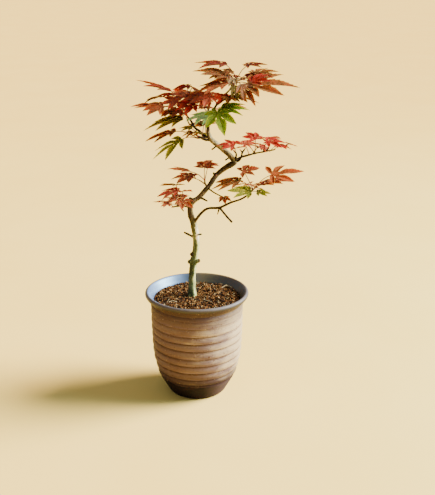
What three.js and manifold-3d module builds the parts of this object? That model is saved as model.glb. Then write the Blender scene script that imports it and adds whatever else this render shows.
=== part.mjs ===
// A small maple in a ribbed stoneware pot: pot, soil, a twisting trunk, its boughs and its masses of leaves.
// Millimetres, +Z up. The origin is the centre of the pot's flat underside. The front of the tree faces -Y.

import * as THREE from 'three';
import { mergeVertices } from 'three/addons/utils/BufferGeometryUtils.js';
import Module from 'manifold-3d';

const wasm = await Module();
wasm.setup();

// Pot
const RIM_RADIUS = 52.5;
const POT_HEIGHT = 109;
const WALL = 3.6;
const FLOOR_THICKNESS = 7;
const FLOOR_RADIUS = 27;
const WALL_HEIGHTS = [24, 40, 60, 98];
const POT_SIDES = 36;
// Height and outer radius of the foot, and of the body from above it to under the lip
const FOOT_OUTLINE = [[0, 27], [0.8, 28.2], [2.5, 29.8], [7.5, 32.6], [11.5, 34.9]];
const BODY_OUTLINE = [
  [15.5, 37.2], [20.5, 39.4], [28, 41.6], [36, 43.5], [44, 44.9], [60, 45.9], [80, 46.5], [97, 46.9],
];
// The flared lip, from under it over its rounded edge to the inside: height below the rim, and how far in
const LIP_OUTLINE = [
  [11, 6.2], [8.5, 4.6], [6.4, 2.4], [4.2, 0.7], [2.4, 0], [1, 0.4], [0, 1.7], [0.5, 3.2], [2.6, 4.9],
  [6, 6.9],
];
// Heights of the thrower's grooves, with round hoops between them and up to the plain band under the lip
const GROOVES = [20.5, 27.5, 35.7, 44.2, 52, 61, 68.7, 76.5, 85.5, 93.5];
const HOOPS_TOP = 97;
const GROOVE_DEPTH = 0.9;
const HOOP_SWELL = 0.3;

// Soil and clearances
const SOIL_TOP = 101.7;
const SOIL_RADIUS = 44.4;
// Its crumbs: how far apart they are, how far each may lie off its place, how high they stand above or below
// the soil's level, and how near to the trunk they stay level
const CRUMB = 4.3;
const CRUMB_STRAY = 0.22;
const CRUMB_RELIEF = 1.35;
const LEVEL_REACH = 11;
const SOIL_SEED = 17;
const GAP = 0.3;

// Trunk: x, y, z and radius down the middle of the wood, from the flare at the soil to the tip of the leader
const TRUNK = [
  [-5, 5, 102, 4.8], [-5, 5, 108, 4.0], [-4.6, 5, 123, 3.55], [-3.2, 5, 138, 3.6], [-1.2, 5, 147, 3.3],
  [-0.3, 4, 160, 3.2], [-2, 2, 176, 3.25], [-6, 1, 193, 2.85], [-4.5, 2, 200, 2.6], [3, 4, 206, 2.3],
  [12, 6, 216, 2.3], [21, 9, 228, 2.45], [31, 8, 236, 2.8], [37.5, 6, 240.5, 2.75], [34.5, 4.5, 246, 2.65],
  [24.5, 1, 256, 2.6], [14, -3, 266, 2.45], [12, -3, 274, 1.8], [13, -2, 282, 1.4], [17, 0, 292, 1.15],
  [24, 4, 302, 1.0], [33, 6, 311, 0.85],
];
// The trunk is split at its two sharp bends and at its fork: each piece ends at this point of the list
const TRUNK_PIECES = { trunk_foot: 7, trunk_middle: 13, trunk_top: 16, trunk_leader: 21 };
const FLARE_HEIGHT = 9;
const FLARE_LOBES = 5;
const FLARE_SHARE = 0.13;

// Old spurs and knots on the trunk: the piece, where it starts, where it ends, and its radii there
const SPURS = [
  ['trunk_foot', [-3, 2.5, 165], [-12, -1, 171], 0.9, 0.5],
  ['trunk_foot', [-1, 3, 167], [5, -1, 169], 0.8, 0.4],
  ['trunk_foot', [-3, 5, 139], [2.6, 2, 140], 2.2, 1.2],
  ['trunk_foot', [-3, 5, 138], [-8, 3, 138.5], 2.3, 1.2],
  ['trunk_foot', [-2, 5, 147], [-5.4, 2.5, 146.5], 1.6, 0.9],
  ['trunk_middle', [-3, 3, 201.5], [-6.2, 1, 205.5], 1.4, 0.7],
  ['trunk_middle', [3, 4, 206], [11, -2, 203.5], 0.8, 0.5],
  ['trunk_middle', [19, 8, 225.5], [17, 5, 230], 0.9, 0.5],
  ['trunk_top', [34, 4, 246.5], [28.5, 0, 244], 0.6, 0.4],
  ['trunk_top', [25, 1, 256], [31, -2, 259], 1.2, 0.7],
  ['trunk_top', [22, 0, 259], [15.5, -3, 255], 0.6, 0.4],
];

// Boughs: x, y, z and radius, starting inside the wood that carries them
const BOUGHS = {
  bough_low_right: [[-2.5, 1, 180, 1.2], [4, -2, 190, 1.05], [11, -3, 196, 0.95], [23, -6, 198, 0.9],
    [34, -9, 204, 0.75], [43, -10.5, 207.5, 0.68], [50, -12, 212, 0.62]],
  bough_low_right_side: [[23, -6, 198, 0.85], [29, -9, 191, 0.8], [35, -12, 185, 0.75]],
  bough_right_upper: [[38, 6, 240.5, 1.1], [41, 7, 243.5, 0.95], [44, 8, 245, 0.85], [51, 9.5, 246.7, 0.75]],
  bough_left_upper: [[14, -3, 266.5, 1.2], [8, -1, 268, 1.0], [4, 1, 272, 0.9], [-1, 4, 275, 0.8],
    [-4, 7, 280, 0.7], [-10, 11, 287, 0.6]],
};
const TRUNK_SIDES = 10;
const TRUNK_STEPS = 2;
const BOUGH_SIDES = 6;
const STEM_SIDES = 5;

// Leaves: the lobes' angles from the middle one, their lengths as shares of the span, and the blade's build
const LOBE_ANGLES = [-122, -78, -38, 0, 38, 78, 122];
const LOBE_SHARES = [0.3, 0.6, 0.88, 1, 0.88, 0.6, 0.3];
const LOBE_WIDTH = 0.13;
const SHOULDER = 0.52;
const SINUS = 0.3;
const LAST_SINUS = 0.12;
const LAST_SINUS_TURN = 32;
const NOTCH = 0.06;
const FOLD = 0.35;
const DROOP = 0.1;
const LOBE_WANDER = 7;
const LENGTH_SHARE = [0.94, 1.06];
const DROOP_SHARE = [0.6, 1.5];
const LEAF_THICKNESS = 0.7;
const LEAF_CLEARANCE = 1.3;
const PETIOLE_RADIUS = 0.5;
const PETIOLE_ROOT = 1.4;
const PETIOLE_BOW = 0.08;

// One leaf that shows from the front: how far along the stem it sits, the foot of its blade, where it points
// (turn from +X, dip below level, roll), its span, how far its lobes spread, and how many lobes it has
function leaf(along, foot, [turn, dip, roll], span, fan, lobes) {
  return { along, foot: new THREE.Vector3(...foot), turn, dip, roll, span, fan, lobes };
}

// The masses of leaves: the stem's x, y, z and radius from its bough or the trunk, the leaves that show
// from the front, and how many more the rule grows, about a direction that it favours
const MASSES = {
  foliage_top: {
    seed: 101, grown: 3, towards: 95, colour: 0x8a4a22,
    stem: [[33, 6, 311, 0.75], [36, 5.5, 315, 0.65], [39, 7, 320, 0.55]],
    leaves: [
      leaf(1.0, [30, 12, 334], [181, -7, -3], 33, 0.85, 5),
      leaf(1.0, [49, 16, 333], [3, -4, 4], 20, 1.1, 7),
      leaf(0.7, [31, -4, 325], [178, -16, -8], 33, 0.8, 7),
      leaf(0.6, [31, -12, 320], [188, 9, -4], 33, 0.8, 5),
      leaf(0.5, [43, -20, 320], [-42, 42, 6], 24, 0.75, 5),
      leaf(0.7, [51, 6, 322], [22, -12, 6], 27, 0.9, 5),
      leaf(0.6, [49, -10, 319], [-3, -2, 18], 47, 0.9, 5),
    ],
  },
  foliage_upper_left: {
    seed: 211, grown: 3, towards: 120, colour: 0x7a241a,
    stem: [[-10, 11, 287, 0.6], [-10, 10, 291, 0.5], [-9, 9, 295, 0.4]],
    leaves: [
      leaf(0.8, [-23, 16, 308], [178, -22, 4], 38, 0.7, 5),
      leaf(1.0, [-6, 2, 315], [188, 8, -6], 17, 1.0, 7),
      leaf(1.0, [-4, 6, 314], [-25, 30, 0], 17, 0.4, 5),
      leaf(0.5, [-30, -14, 298], [183, 1, -20], 20, 0.95, 5),
      leaf(0.7, [-16, -6, 302], [190, 4, -24], 18, 1.1, 7),
      leaf(0.9, [-6, 9, 305], [178, -3, -14], 22, 1.0, 7),
      leaf(0.3, [-14, -2, 293], [200, 14, -6], 20, 0.95, 5),
      leaf(0.1, [-11, -14, 287], [184, 7, -5], 37, 0.75, 5),
    ],
  },
  foliage_left_low: {
    seed: 307, grown: 2, towards: 150, colour: 0x6d6420,
    stem: [[13.5, -3, 267.5, 0.8], [8, -6, 267, 0.6], [2, -7, 267, 0.5]],
    leaves: [
      leaf(1.0, [-19, 4, 272], [184, 15, -1], 30, 0.9, 5),
      leaf(0.9, [-3, -3, 276], [178, -2, -10], 13, 0.8, 5),
      leaf(1.0, [-13, -10, 267], [198, 27, -3], 35, 0.9, 5),
    ],
  },
  foliage_centre_red: {
    seed: 401, grown: 2, towards: 60, colour: 0x8b2018,
    stem: [[13.5, -1.5, 284, 0.7], [12, 1, 290, 0.6], [13, 2, 296, 0.5]],
    leaves: [
      leaf(0.9, [7, -13, 306], [182, 2, -16], 21, 1.1, 7),
      leaf(1.0, [14, -14, 308], [205, 8, -20], 21, 1.2, 7),
      leaf(0.7, [12, -2, 302], [196, 6, -18], 20, 1.1, 7),
      leaf(0.5, [-1, -16, 301], [200, 8, -24], 19, 1.0, 7),
      leaf(1.0, [18, 20, 300], [60, -4, 0], 28, 1.1, 7),
    ],
  },
  foliage_centre_right: {
    seed: 521, grown: 1, towards: 20, colour: 0xa63a22,
    stem: [[20, 2, 297, 0.7], [23, -1, 299, 0.5], [25, -4, 301, 0.4]],
    leaves: [
      leaf(0.9, [30, -16, 307], [185, 2, -20], 17, 1.1, 7),
      leaf(1.0, [33, -8, 306], [-5, 3, 8], 16, 1.1, 5),
    ],
  },
  foliage_centre_green: {
    seed: 601, grown: 0, towards: -90, colour: 0x6f8f1c,
    stem: [[14, -1.5, 286, 0.7], [15, -5, 288, 0.5], [16, -9, 290, 0.45]],
    leaves: [
      leaf(1.0, [21, -28, 295], [-74, 38, 6], 24, 1.15, 7),
      leaf(0.8, [24, -17, 297], [0, -3, 20], 27, 0.75, 5),
      leaf(0.6, [9, -13, 290], [186, 14, -18], 18, 1.0, 7),
    ],
  },
  foliage_right_small: {
    seed: 701, grown: 0, towards: 90, colour: 0xb52f27,
    stem: [[38, 5, 242, 0.7], [39, 1, 250, 0.5], [37.5, -2, 253, 0.4]],
    leaves: [leaf(0.8, [37, -6, 259], [175, -13, -20], 17, 0.95, 5)],
  },
  foliage_right_upper: {
    seed: 809, grown: 2, towards: 80, colour: 0xb42a22,
    stem: [[51, 9.5, 246.7, 0.7], [58, 12, 248, 0.6], [67, 14, 249.2, 0.5], [76, 16, 250.5, 0.45]],
    leaves: [
      leaf(0.05, [46, -4, 261], [6, -4, 20], 11, 1.2, 7),
      leaf(0.3, [59, 16, 261], [130, -22, -10], 17, 1.0, 5),
      leaf(0.65, [68, 6, 261], [2, 0, 14], 21, 0.95, 7),
    ],
  },
  foliage_right_low: {
    seed: 907, grown: 2, towards: 60, colour: 0xa5552a,
    stem: [[50, -12, 212, 0.6], [53, -13, 216, 0.55], [56, -14, 219, 0.45]],
    leaves: [
      leaf(0.9, [45, -5, 234], [12, -10, 16], 17, 1.35, 5),
      leaf(0.8, [43, -15, 228], [184, 13, -5], 30, 0.75, 7),
      leaf(0.3, [53, -20, 218], [182, -3, -14], 24, 0.9, 5),
      leaf(0.5, [59, -14, 216], [-2, 4, 12], 13, 1.0, 5),
      leaf(1.0, [72, -20, 235], [5, -8, 14], 31, 1.2, 5),
    ],
  },
  foliage_small_middle: {
    seed: 1009, grown: 0, towards: -60, colour: 0xa8502a,
    stem: [[11, 6, 215, 0.7], [17, -2, 212.5, 0.55], [25, -9, 210, 0.45]],
    leaves: [leaf(1.0, [27, -13, 210.5], [-80, 22, 5], 10, 1.1, 7)],
  },
  foliage_mid_left: {
    seed: 1103, grown: 2, towards: 130, colour: 0xa04a28,
    stem: [[11, 6, 215, 0.8], [9, -1, 221, 0.6], [8.5, -3, 225, 0.5]],
    leaves: [
      leaf(1.0, [8, -2, 237], [68, -20, 0], 19, 1.1, 5),
      leaf(1.0, [-5, -8, 235], [178, -12, 4], 22, 0.6, 5),
    ],
  },
  foliage_low_left: {
    seed: 1201, grown: 2, towards: 150, colour: 0x94301f,
    stem: [[-6, 1, 196, 0.8], [-12, -4, 199, 0.65], [-17, -7, 200, 0.55], [-22, -9, 199.5, 0.5]],
    leaves: [
      leaf(0.7, [-18, 2, 219], [150, 4, 10], 20, 1.2, 5),
      leaf(0.7, [-17, -8, 216], [188, 10, -8], 22, 0.85, 7),
      leaf(1.0, [-30, -14, 207], [182, 2, 0], 12, 0.35, 5),
      leaf(0.75, [-19, -12, 209], [200, 16, -6], 9, 0.7, 5),
      leaf(0.6, [-14, -14, 207], [-30, 16, 16], 15, 1.3, 7),
    ],
  },
};
// What the rule draws for a grown leaf, each from its least to its most
const GROWN = {
  along: [0.3, 1], swing: [-70, 70], reach: [12, 24], rise: [3, 13], aside: [-25, 25], dip: [-6, 14],
  roll: [-12, 12], span: [19, 30], fan: [0.8, 1.1],
};

// Seeded numbers from 0 to 1
function seeded(seed) {
  let state = seed;
  return () => {
    state = (state * 48271) % 2147483647;
    return state / 2147483647;
  };
}

function between([least, most], random) {
  return least + (most - least) * random();
}

// Closed meshes and solids

function meshGeometry(points, triangles) {
  const geometry = new THREE.BufferGeometry();
  geometry.setAttribute('position', new THREE.Float32BufferAttribute(points.flatMap((p) => p.toArray()), 3));
  geometry.setIndex(triangles.flat());
  return geometry;
}

function closed(geometry) {
  const bare = geometry.clone();
  bare.deleteAttribute('normal');
  bare.deleteAttribute('uv');
  const merged = mergeVertices(bare, 1e-4);
  const index = [...merged.index.array];
  const kept = [];
  for (let i = 0; i < index.length; i += 3) {
    const [a, b, c] = index.slice(i, i + 3);
    if (a !== b && b !== c && c !== a) kept.push(a, b, c);
  }
  merged.setIndex(kept);
  return merged;
}

function solidOf(geometry) {
  const merged = closed(geometry);
  return new wasm.Manifold(new wasm.Mesh({
    numProp: 3,
    vertProperties: new Float32Array(merged.attributes.position.array),
    triVerts: new Uint32Array(merged.index.array),
  }));
}

function largest(solid) {
  return solid.decompose().sort((a, b) => b.volume() - a.volume())[0];
}

function geometryOf(solid) {
  const mesh = solid.getMesh();
  const geometry = new THREE.BufferGeometry();
  geometry.setAttribute('position', new THREE.BufferAttribute(new Float32Array(mesh.vertProperties), 3));
  geometry.setIndex([...mesh.triVerts]);
  geometry.computeVertexNormals();
  return geometry;
}

function named(name, solid, colour, roughness) {
  const material = new THREE.MeshStandardMaterial({ color: colour, roughness, metalness: 0 });
  const mesh = new THREE.Mesh(geometryOf(solid), material);
  mesh.name = name;
  return mesh;
}

// Limbs: a closed tapering tube down a smooth line through the given points

function curveThrough(points) {
  const places = points.map(([x, y, z]) => new THREE.Vector3(x, y, z));
  return new THREE.CatmullRomCurve3(places, false, 'centripetal');
}

function smoothLine(points, steps) {
  const curve = curveThrough(points);
  const line = [];
  for (let i = 0; i <= (points.length - 1) * steps; i += 1) {
    const t = i / steps;
    const low = Math.min(Math.floor(t), points.length - 2);
    const radius = THREE.MathUtils.lerp(points[low][3], points[low + 1][3], t - low);
    const along = i / ((points.length - 1) * steps);
    line.push({ point: curve.getPoint(along), tangent: curve.getTangent(along), radius });
  }
  return line;
}

function tube(line, sides, shape = () => 1) {
  const points = [];
  const triangles = [];
  let across = new THREE.Vector3(1, 0, 0);
  for (const { point, tangent, radius } of line) {
    across = across.clone().addScaledVector(tangent, -across.dot(tangent)).normalize();
    const other = new THREE.Vector3().crossVectors(tangent, across);
    for (let k = 0; k < sides; k += 1) {
      const angle = (2 * Math.PI * k) / sides;
      const reach = radius * shape(angle, point);
      const [u, v] = [reach * Math.cos(angle), reach * Math.sin(angle)];
      points.push(point.clone().addScaledVector(across, u).addScaledVector(other, v));
    }
  }
  for (let i = 0; i < line.length - 1; i += 1) {
    for (let k = 0; k < sides; k += 1) {
      const a = i * sides + k;
      const b = i * sides + ((k + 1) % sides);
      triangles.push([a, b, b + sides], [a, b + sides, a + sides]);
    }
  }
  const last = (line.length - 1) * sides;
  for (let k = 1; k < sides - 1; k += 1) {
    triangles.push([0, k + 1, k], [last, last + k, last + k + 1]);
  }
  return meshGeometry(points, triangles);
}

function limb(points, sides, { steps = 2, swell = 0 } = {}) {
  const line = smoothLine(points, steps).map((ring) => ({ ...ring, radius: ring.radius + swell }));
  return solidOf(tube(line, sides));
}

// Pot and soil

function bodyRadius(height) {
  const above = BODY_OUTLINE.findIndex(([z]) => z >= height);
  if (above < 0) return BODY_OUTLINE.at(-1)[1];
  const [z1, r1] = BODY_OUTLINE[Math.max(above, 1)];
  const [z0, r0] = BODY_OUTLINE[Math.max(above, 1) - 1];
  return THREE.MathUtils.mapLinear(height, z0, z1, r0, r1);
}

// Inside of the pot as radius and height, from the middle of the floor up, drawn in by a clearance
function innerWall(clearance) {
  const wall = WALL_HEIGHTS.map((z) => new THREE.Vector2(bodyRadius(z) - WALL - clearance, z));
  const corner = new THREE.Vector2(FLOOR_RADIUS - clearance, FLOOR_THICKNESS + clearance);
  return [new THREE.Vector2(0, FLOOR_THICKNESS + clearance), corner, ...wall];
}

function lathe(profile) {
  return new THREE.LatheGeometry(profile, POT_SIDES).rotateX(Math.PI / 2);
}

function makePot() {
  const foot = FOOT_OUTLINE.map(([z, r]) => new THREE.Vector2(r, z));
  const [bodyFoot, footRadius] = BODY_OUTLINE[0];
  const ribs = [new THREE.Vector2(footRadius, bodyFoot)];
  GROOVES.forEach((z, i) => {
    const middle = (z + (GROOVES[i + 1] ?? HOOPS_TOP)) / 2;
    ribs.push(new THREE.Vector2(bodyRadius(z) - GROOVE_DEPTH, z));
    ribs.push(new THREE.Vector2(bodyRadius(middle) + HOOP_SWELL, middle));
  });
  const lip = LIP_OUTLINE.map(([below, inwards]) => {
    return new THREE.Vector2(RIM_RADIUS - inwards, POT_HEIGHT - below);
  });
  return solidOf(lathe([new THREE.Vector2(0, 0), ...foot, ...ribs, ...lip, ...innerWall(0).reverse()]));
}

// A level ring of points about the pot's axis
function levelRing(radius, height, count) {
  return Array.from({ length: count }, (_, k) => {
    const angle = (2 * Math.PI * k) / count;
    return new THREE.Vector3(radius * Math.cos(angle), radius * Math.sin(angle), height);
  });
}

// The crumbs of the soil's top, in rings from its edge to its middle
function crumbRings() {
  const random = seeded(SOIL_SEED);
  const [trunkX, trunkY] = TRUNK[0];
  const rings = [];
  for (let radius = SOIL_RADIUS - CRUMB; radius > CRUMB / 2; radius -= CRUMB) {
    const count = Math.round((2 * Math.PI * radius) / CRUMB);
    const crumbs = levelRing(radius, SOIL_TOP, count);
    for (const crumb of crumbs) {
      const [aside, off, lift] = [random(), random(), random()].map((draw) => 2 * draw - 1);
      crumb.x += aside * CRUMB_STRAY * CRUMB;
      crumb.y += off * CRUMB_STRAY * CRUMB;
      const level = Math.hypot(crumb.x - trunkX, crumb.y - trunkY) < LEVEL_REACH;
      if (!level) crumb.z += lift * CRUMB_RELIEF;
    }
    rings.push(crumbs);
  }
  return rings;
}

// Faces between two rings, given as the numbers of their points, that may differ in how many they have
function joinRings(first, second) {
  const triangles = [];
  let [i, j] = [0, 0];
  while (i < first.length || j < second.length) {
    const [a, b] = [first[i % first.length], second[j % second.length]];
    if ((i + 1) / first.length <= (j + 1) / second.length) {
      i += 1;
      triangles.push([a, first[i % first.length], b]);
    } else {
      j += 1;
      triangles.push([a, second[j % second.length], b]);
    }
  }
  return triangles;
}

// The soil fills the pot to just under the rim, with a crumbly top that is level round the trunk
function makeSoil() {
  const [floor, ...wall] = innerWall(GAP);
  const edge = new THREE.Vector2(SOIL_RADIUS, SOIL_TOP);
  const rings = [...[...wall, edge].map(({ x, y }) => levelRing(x, y, POT_SIDES)), ...crumbRings()];
  const points = [new THREE.Vector3(0, 0, floor.y), ...rings.flat(), new THREE.Vector3(0, 0, SOIL_TOP)];
  let first = 1;
  const numbers = rings.map((around) => {
    first += around.length;
    return around.map((_, k) => first - around.length + k);
  });
  const triangles = numbers.slice(1).flatMap((upper, i) => joinRings(numbers[i], upper));
  const fan = (around, middle) => around.map((a, k) => [middle, a, around[(k + 1) % around.length]]);
  triangles.push(...fan(numbers[0], 0).map(([middle, a, b]) => [middle, b, a]));
  triangles.push(...fan(numbers.at(-1), points.length - 1));
  return solidOf(meshGeometry(points, triangles));
}

// Trunk and boughs

function flare(angle, point) {
  const low = Math.max(0, 1 - (point.z - TRUNK[0][2]) / FLARE_HEIGHT);
  return 1 + FLARE_SHARE * low * Math.cos(FLARE_LOBES * angle);
}

function makeTrunk() {
  const line = smoothLine(TRUNK, TRUNK_STEPS);
  const pieces = {};
  let first = 0;
  for (const [name, lastPoint] of Object.entries(TRUNK_PIECES)) {
    const rings = line.slice(first, lastPoint * TRUNK_STEPS + 1);
    if (first > 0) {
      const start = rings[0];
      rings[0] = { ...start, point: start.point.clone().addScaledVector(start.tangent, GAP) };
    }
    let solid = solidOf(tube(rings, TRUNK_SIDES, flare));
    for (const [piece, from, to, thick, thin] of SPURS) {
      if (piece !== name) continue;
      solid = solid.add(limb([[...from, thick], [...to, thin]], BOUGH_SIDES, { steps: 1 }));
    }
    pieces[name] = largest(solid);
    first = lastPoint * TRUNK_STEPS;
  }
  return pieces;
}

// The same wood, thicker by the gap all round: what meets it is cut back by this
function makeTrunkRoom() {
  const line = smoothLine(TRUNK, TRUNK_STEPS).map((ring) => ({ ...ring, radius: ring.radius + GAP }));
  let room = solidOf(tube(line, TRUNK_SIDES, flare));
  for (const [, from, to, thick, thin] of SPURS) {
    room = room.add(limb([[...from, thick + GAP], [...to, thin + GAP]], BOUGH_SIDES, { steps: 1 }));
  }
  return room;
}

// A bough's room also reaches the gap past its tip
function boughRoom(points) {
  const [x, y, z, radius] = points.at(-1);
  const [px, py, pz] = points.at(-2);
  const length = Math.hypot(x - px, y - py, z - pz);
  const past = [x, y, z].map((v, i) => v + ((v - [px, py, pz][i]) / length) * GAP);
  return limb([...points.slice(0, -1), [...past, radius]], BOUGH_SIDES, { swell: GAP });
}

// Leaves

function leafAxes({ turn, dip, roll }) {
  const [t, d, r] = [turn, dip, roll].map(THREE.MathUtils.degToRad);
  const forward = new THREE.Vector3(Math.cos(t) * Math.cos(d), Math.sin(t) * Math.cos(d), -Math.sin(d));
  const level = new THREE.Vector3(-Math.sin(t), Math.cos(t), 0);
  const up = new THREE.Vector3().crossVectors(forward, level);
  const side = level.clone().multiplyScalar(Math.cos(r)).addScaledVector(up, Math.sin(r));
  return { forward, side, normal: new THREE.Vector3().crossVectors(forward, side) };
}

// The drawn lobes of a leaf: each one's angle, length and droop, a little different every time
function drawLobes({ span, fan, lobes }, random) {
  const skip = (LOBE_ANGLES.length - lobes) / 2;
  return LOBE_ANGLES.slice(skip, LOBE_ANGLES.length - skip).map((angle, i) => ({
    angle: angle * fan + (random() - 0.5) * LOBE_WANDER,
    length: span * LOBE_SHARES[i + skip] * between(LENGTH_SHARE, random),
    droop: DROOP * between(DROOP_SHARE, random),
  }));
}

// One blade: a thin folded star, thickest along its ribs, whose lobes droop towards their tips
function blade(shape, random, thickness) {
  const { forward, side, normal } = leafAxes(shape);
  const lobes = drawLobes(shape, random);
  const points = [];
  const at = (angle, reach, aside, raise, droop) => {
    const a = THREE.MathUtils.degToRad(angle);
    const point = shape.foot.clone();
    point.addScaledVector(forward, reach * Math.cos(a) - aside * Math.sin(a));
    point.addScaledVector(side, reach * Math.sin(a) + aside * Math.cos(a));
    point.addScaledVector(normal, raise);
    point.z -= droop * shape.span * (reach / shape.span) ** 2;
    return points.push(point) - 1;
  };
  const sinus = (i) => {
    const [a, b] = [lobes[i - 1], lobes[i]];
    if (!a) return at(b.angle - LAST_SINUS_TURN, LAST_SINUS * shape.span, 0, 0, DROOP);
    if (!b) return at(a.angle + LAST_SINUS_TURN, LAST_SINUS * shape.span, 0, 0, DROOP);
    return at((a.angle + b.angle) / 2, SINUS * Math.min(a.length, b.length), 0, 0, DROOP);
  };
  // Points on a rib come in pairs, the upper one first, and each fan of faces is made above and below
  const onRib = (angle, reach, droop) => {
    return [1, -1].map((way) => at(angle, reach, 0, (way * thickness) / 2, droop));
  };
  const triangles = [];
  const cover = (edge, [upper, lower]) => {
    const [a, b] = edge;
    triangles.push([a[0], b[0], upper], [b[1], a[1], lower]);
  };
  const single = (point) => [point, point];
  const middle = onRib(0, 0, 0);
  const notch = single(at(180, NOTCH * shape.span, 0, 0, 0));
  let before = single(sinus(0));
  cover([notch, before], middle);
  lobes.forEach(({ angle, length, droop }, i) => {
    const width = LOBE_WIDTH * length * Math.min(1, shape.fan);
    const right = single(at(angle, SHOULDER * length, -width, FOLD * width, droop));
    const tip = single(at(angle, length, 0, 0, droop));
    const left = single(at(angle, SHOULDER * length, width, FOLD * width, droop));
    const after = single(sinus(i + 1));
    const rib = onRib(angle, SHOULDER * length, droop);
    const ring = [middle, before, right, tip, left, after];
    ring.forEach((point, k) => cover([point, ring[(k + 1) % ring.length]], rib));
    before = after;
  });
  cover([before, notch], middle);
  return solidOf(meshGeometry(points, triangles));
}

// A leaf's stalk bows up from the stem and ends inside the blade, on its middle rib
function stalk(shape, from) {
  const root = shape.foot.clone().addScaledVector(leafAxes(shape).forward, PETIOLE_ROOT);
  const bow = from.clone().lerp(shape.foot, 0.5);
  bow.z += PETIOLE_BOW * from.distanceTo(shape.foot);
  return limb([from, bow, root].map((point) => [...point, PETIOLE_RADIUS]), 3, { steps: 1 });
}

// A grown leaf stands off its stem on the side that the mass favours, and points away from it
function growLeaf({ stem, towards }, random) {
  const along = between(GROWN.along, random);
  const away = towards + between(GROWN.swing, random);
  const reach = between(GROWN.reach, random);
  const rise = between(GROWN.rise, random);
  const angle = THREE.MathUtils.degToRad(away);
  const foot = curveThrough(stem).getPoint(along);
  foot.add(new THREE.Vector3(reach * Math.cos(angle), reach * Math.sin(angle), rise));
  const turn = away + between(GROWN.aside, random);
  const dip = between(GROWN.dip, random);
  const roll = between(GROWN.roll, random);
  const span = between(GROWN.span, random);
  const fan = between(GROWN.fan, random);
  const lobes = random() < 0.5 ? 5 : 7;
  return { along, foot, turn, dip, roll, span, fan, lobes };
}

// One mass: its stem, and each leaf that touches neither a limb nor another mass
function makeMass(mass, wood, others) {
  const random = seeded(mass.seed);
  const grown = Array.from({ length: mass.grown }, () => growLeaf(mass, random));
  let solid = limb(mass.stem, STEM_SIDES);
  let leaves = 0;
  for (const shape of [...mass.leaves, ...grown]) {
    const seed = 1 + Math.floor(random() * 1e6);
    const petiole = stalk(shape, curveThrough(mass.stem).getPoint(shape.along));
    const room = blade(shape, seeded(seed), LEAF_CLEARANCE);
    const inWood = wood.intersect(room).volume() > 0;
    const inOthers = others.some((other) => other.intersect(room.add(petiole)).volume() > 0);
    if (inWood || inOthers) continue;
    solid = solid.add(petiole).add(blade(shape, seeded(seed), LEAF_THICKNESS));
    leaves += 1;
  }
  return { solid: largest(solid.subtract(wood)), leaves };
}

// The whole plant

const plant = new THREE.Group();
plant.add(named('pot', makePot(), 0x8a6a48, 0.7));
plant.add(named('soil', makeSoil(), 0x8a5a30, 1));

let wood = makeTrunkRoom();
for (const [name, solid] of Object.entries(makeTrunk())) {
  plant.add(named(name, solid, 0x7d7358, 0.85));
}
for (const [name, points] of Object.entries(BOUGHS)) {
  plant.add(named(name, largest(limb(points, BOUGH_SIDES).subtract(wood)), 0x4a3a26, 0.8));
  wood = wood.add(boughRoom(points));
}

const made = [];
for (const [name, mass] of Object.entries(MASSES)) {
  const { solid, leaves } = makeMass(mass, wood, made);
  made.push(solid);
  const mesh = named(name, solid, mass.colour, 0.6);
  mesh.userData.leaves = leaves;
  plant.add(mesh);
}

export default plant;
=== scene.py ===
"""The looks of a small maple in a ribbed stoneware pot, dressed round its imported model."""

import math

import bmesh
import bpy
import numpy as np
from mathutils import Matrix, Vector, kdtree


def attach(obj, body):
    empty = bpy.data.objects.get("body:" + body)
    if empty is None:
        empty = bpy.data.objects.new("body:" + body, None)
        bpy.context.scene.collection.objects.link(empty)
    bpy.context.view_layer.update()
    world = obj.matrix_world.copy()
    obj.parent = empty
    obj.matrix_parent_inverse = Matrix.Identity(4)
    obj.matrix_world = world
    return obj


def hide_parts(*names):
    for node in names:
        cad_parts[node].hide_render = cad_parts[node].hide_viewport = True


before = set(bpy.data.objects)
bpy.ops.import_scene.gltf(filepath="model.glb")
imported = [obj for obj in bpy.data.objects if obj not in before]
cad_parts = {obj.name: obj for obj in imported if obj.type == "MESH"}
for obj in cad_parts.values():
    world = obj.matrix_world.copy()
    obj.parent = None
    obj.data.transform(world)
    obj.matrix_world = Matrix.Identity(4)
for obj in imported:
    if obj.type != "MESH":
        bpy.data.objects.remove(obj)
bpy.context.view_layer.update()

MM = 0.001

# Pot, in millimetres: heights and outer radii, and the lip as heights below the rim and how far in
RIM_RADIUS = 52.5
POT_HEIGHT = 109
FLOOR_THICKNESS = 7
FLOOR_RADIUS = 27
FOOT_OUTLINE = [(0, 27), (0.8, 28.2), (2.5, 29.8), (7.5, 32.6), (11.5, 34.9)]
BODY_OUTLINE = [
    (15.5, 37.2), (20.5, 39.4), (28, 41.6), (36, 43.5), (44, 44.9), (60, 45.9), (80, 46.5), (97, 46.9),
]
LIP_OUTLINE = [
    (11, 6.2), (8.5, 4.6), (6.4, 2.4), (4.2, 0.7), (2.4, 0), (1, 0.4), (0, 1.7), (0.5, 3.2), (2.6, 4.9),
    (6, 6.9),
]
GROOVES = [20.5, 27.5, 35.7, 44.2, 52, 61, 68.7, 76.5, 85.5, 93.5, 97]
GROOVE_DEPTH = 0.9
HOOP_SWELL = 0.3
HOOP_PEAK = 0.3

# Soil: its level and radius, its points round the edge, and its crumbs: their spacing, how far aside they
# stray as a share of it, how far up or down, and the reach of the trunk within which they stay level
SOIL_TOP = 101.7
SOIL_RADIUS = 44.4
SOIL_SIDES = 36
CRUMB = 4.3
CRUMB_STRAY = 0.22
CRUMB_RELIEF = 1.35
LEVEL_REACH = 11
SOIL_SEED = 17

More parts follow.
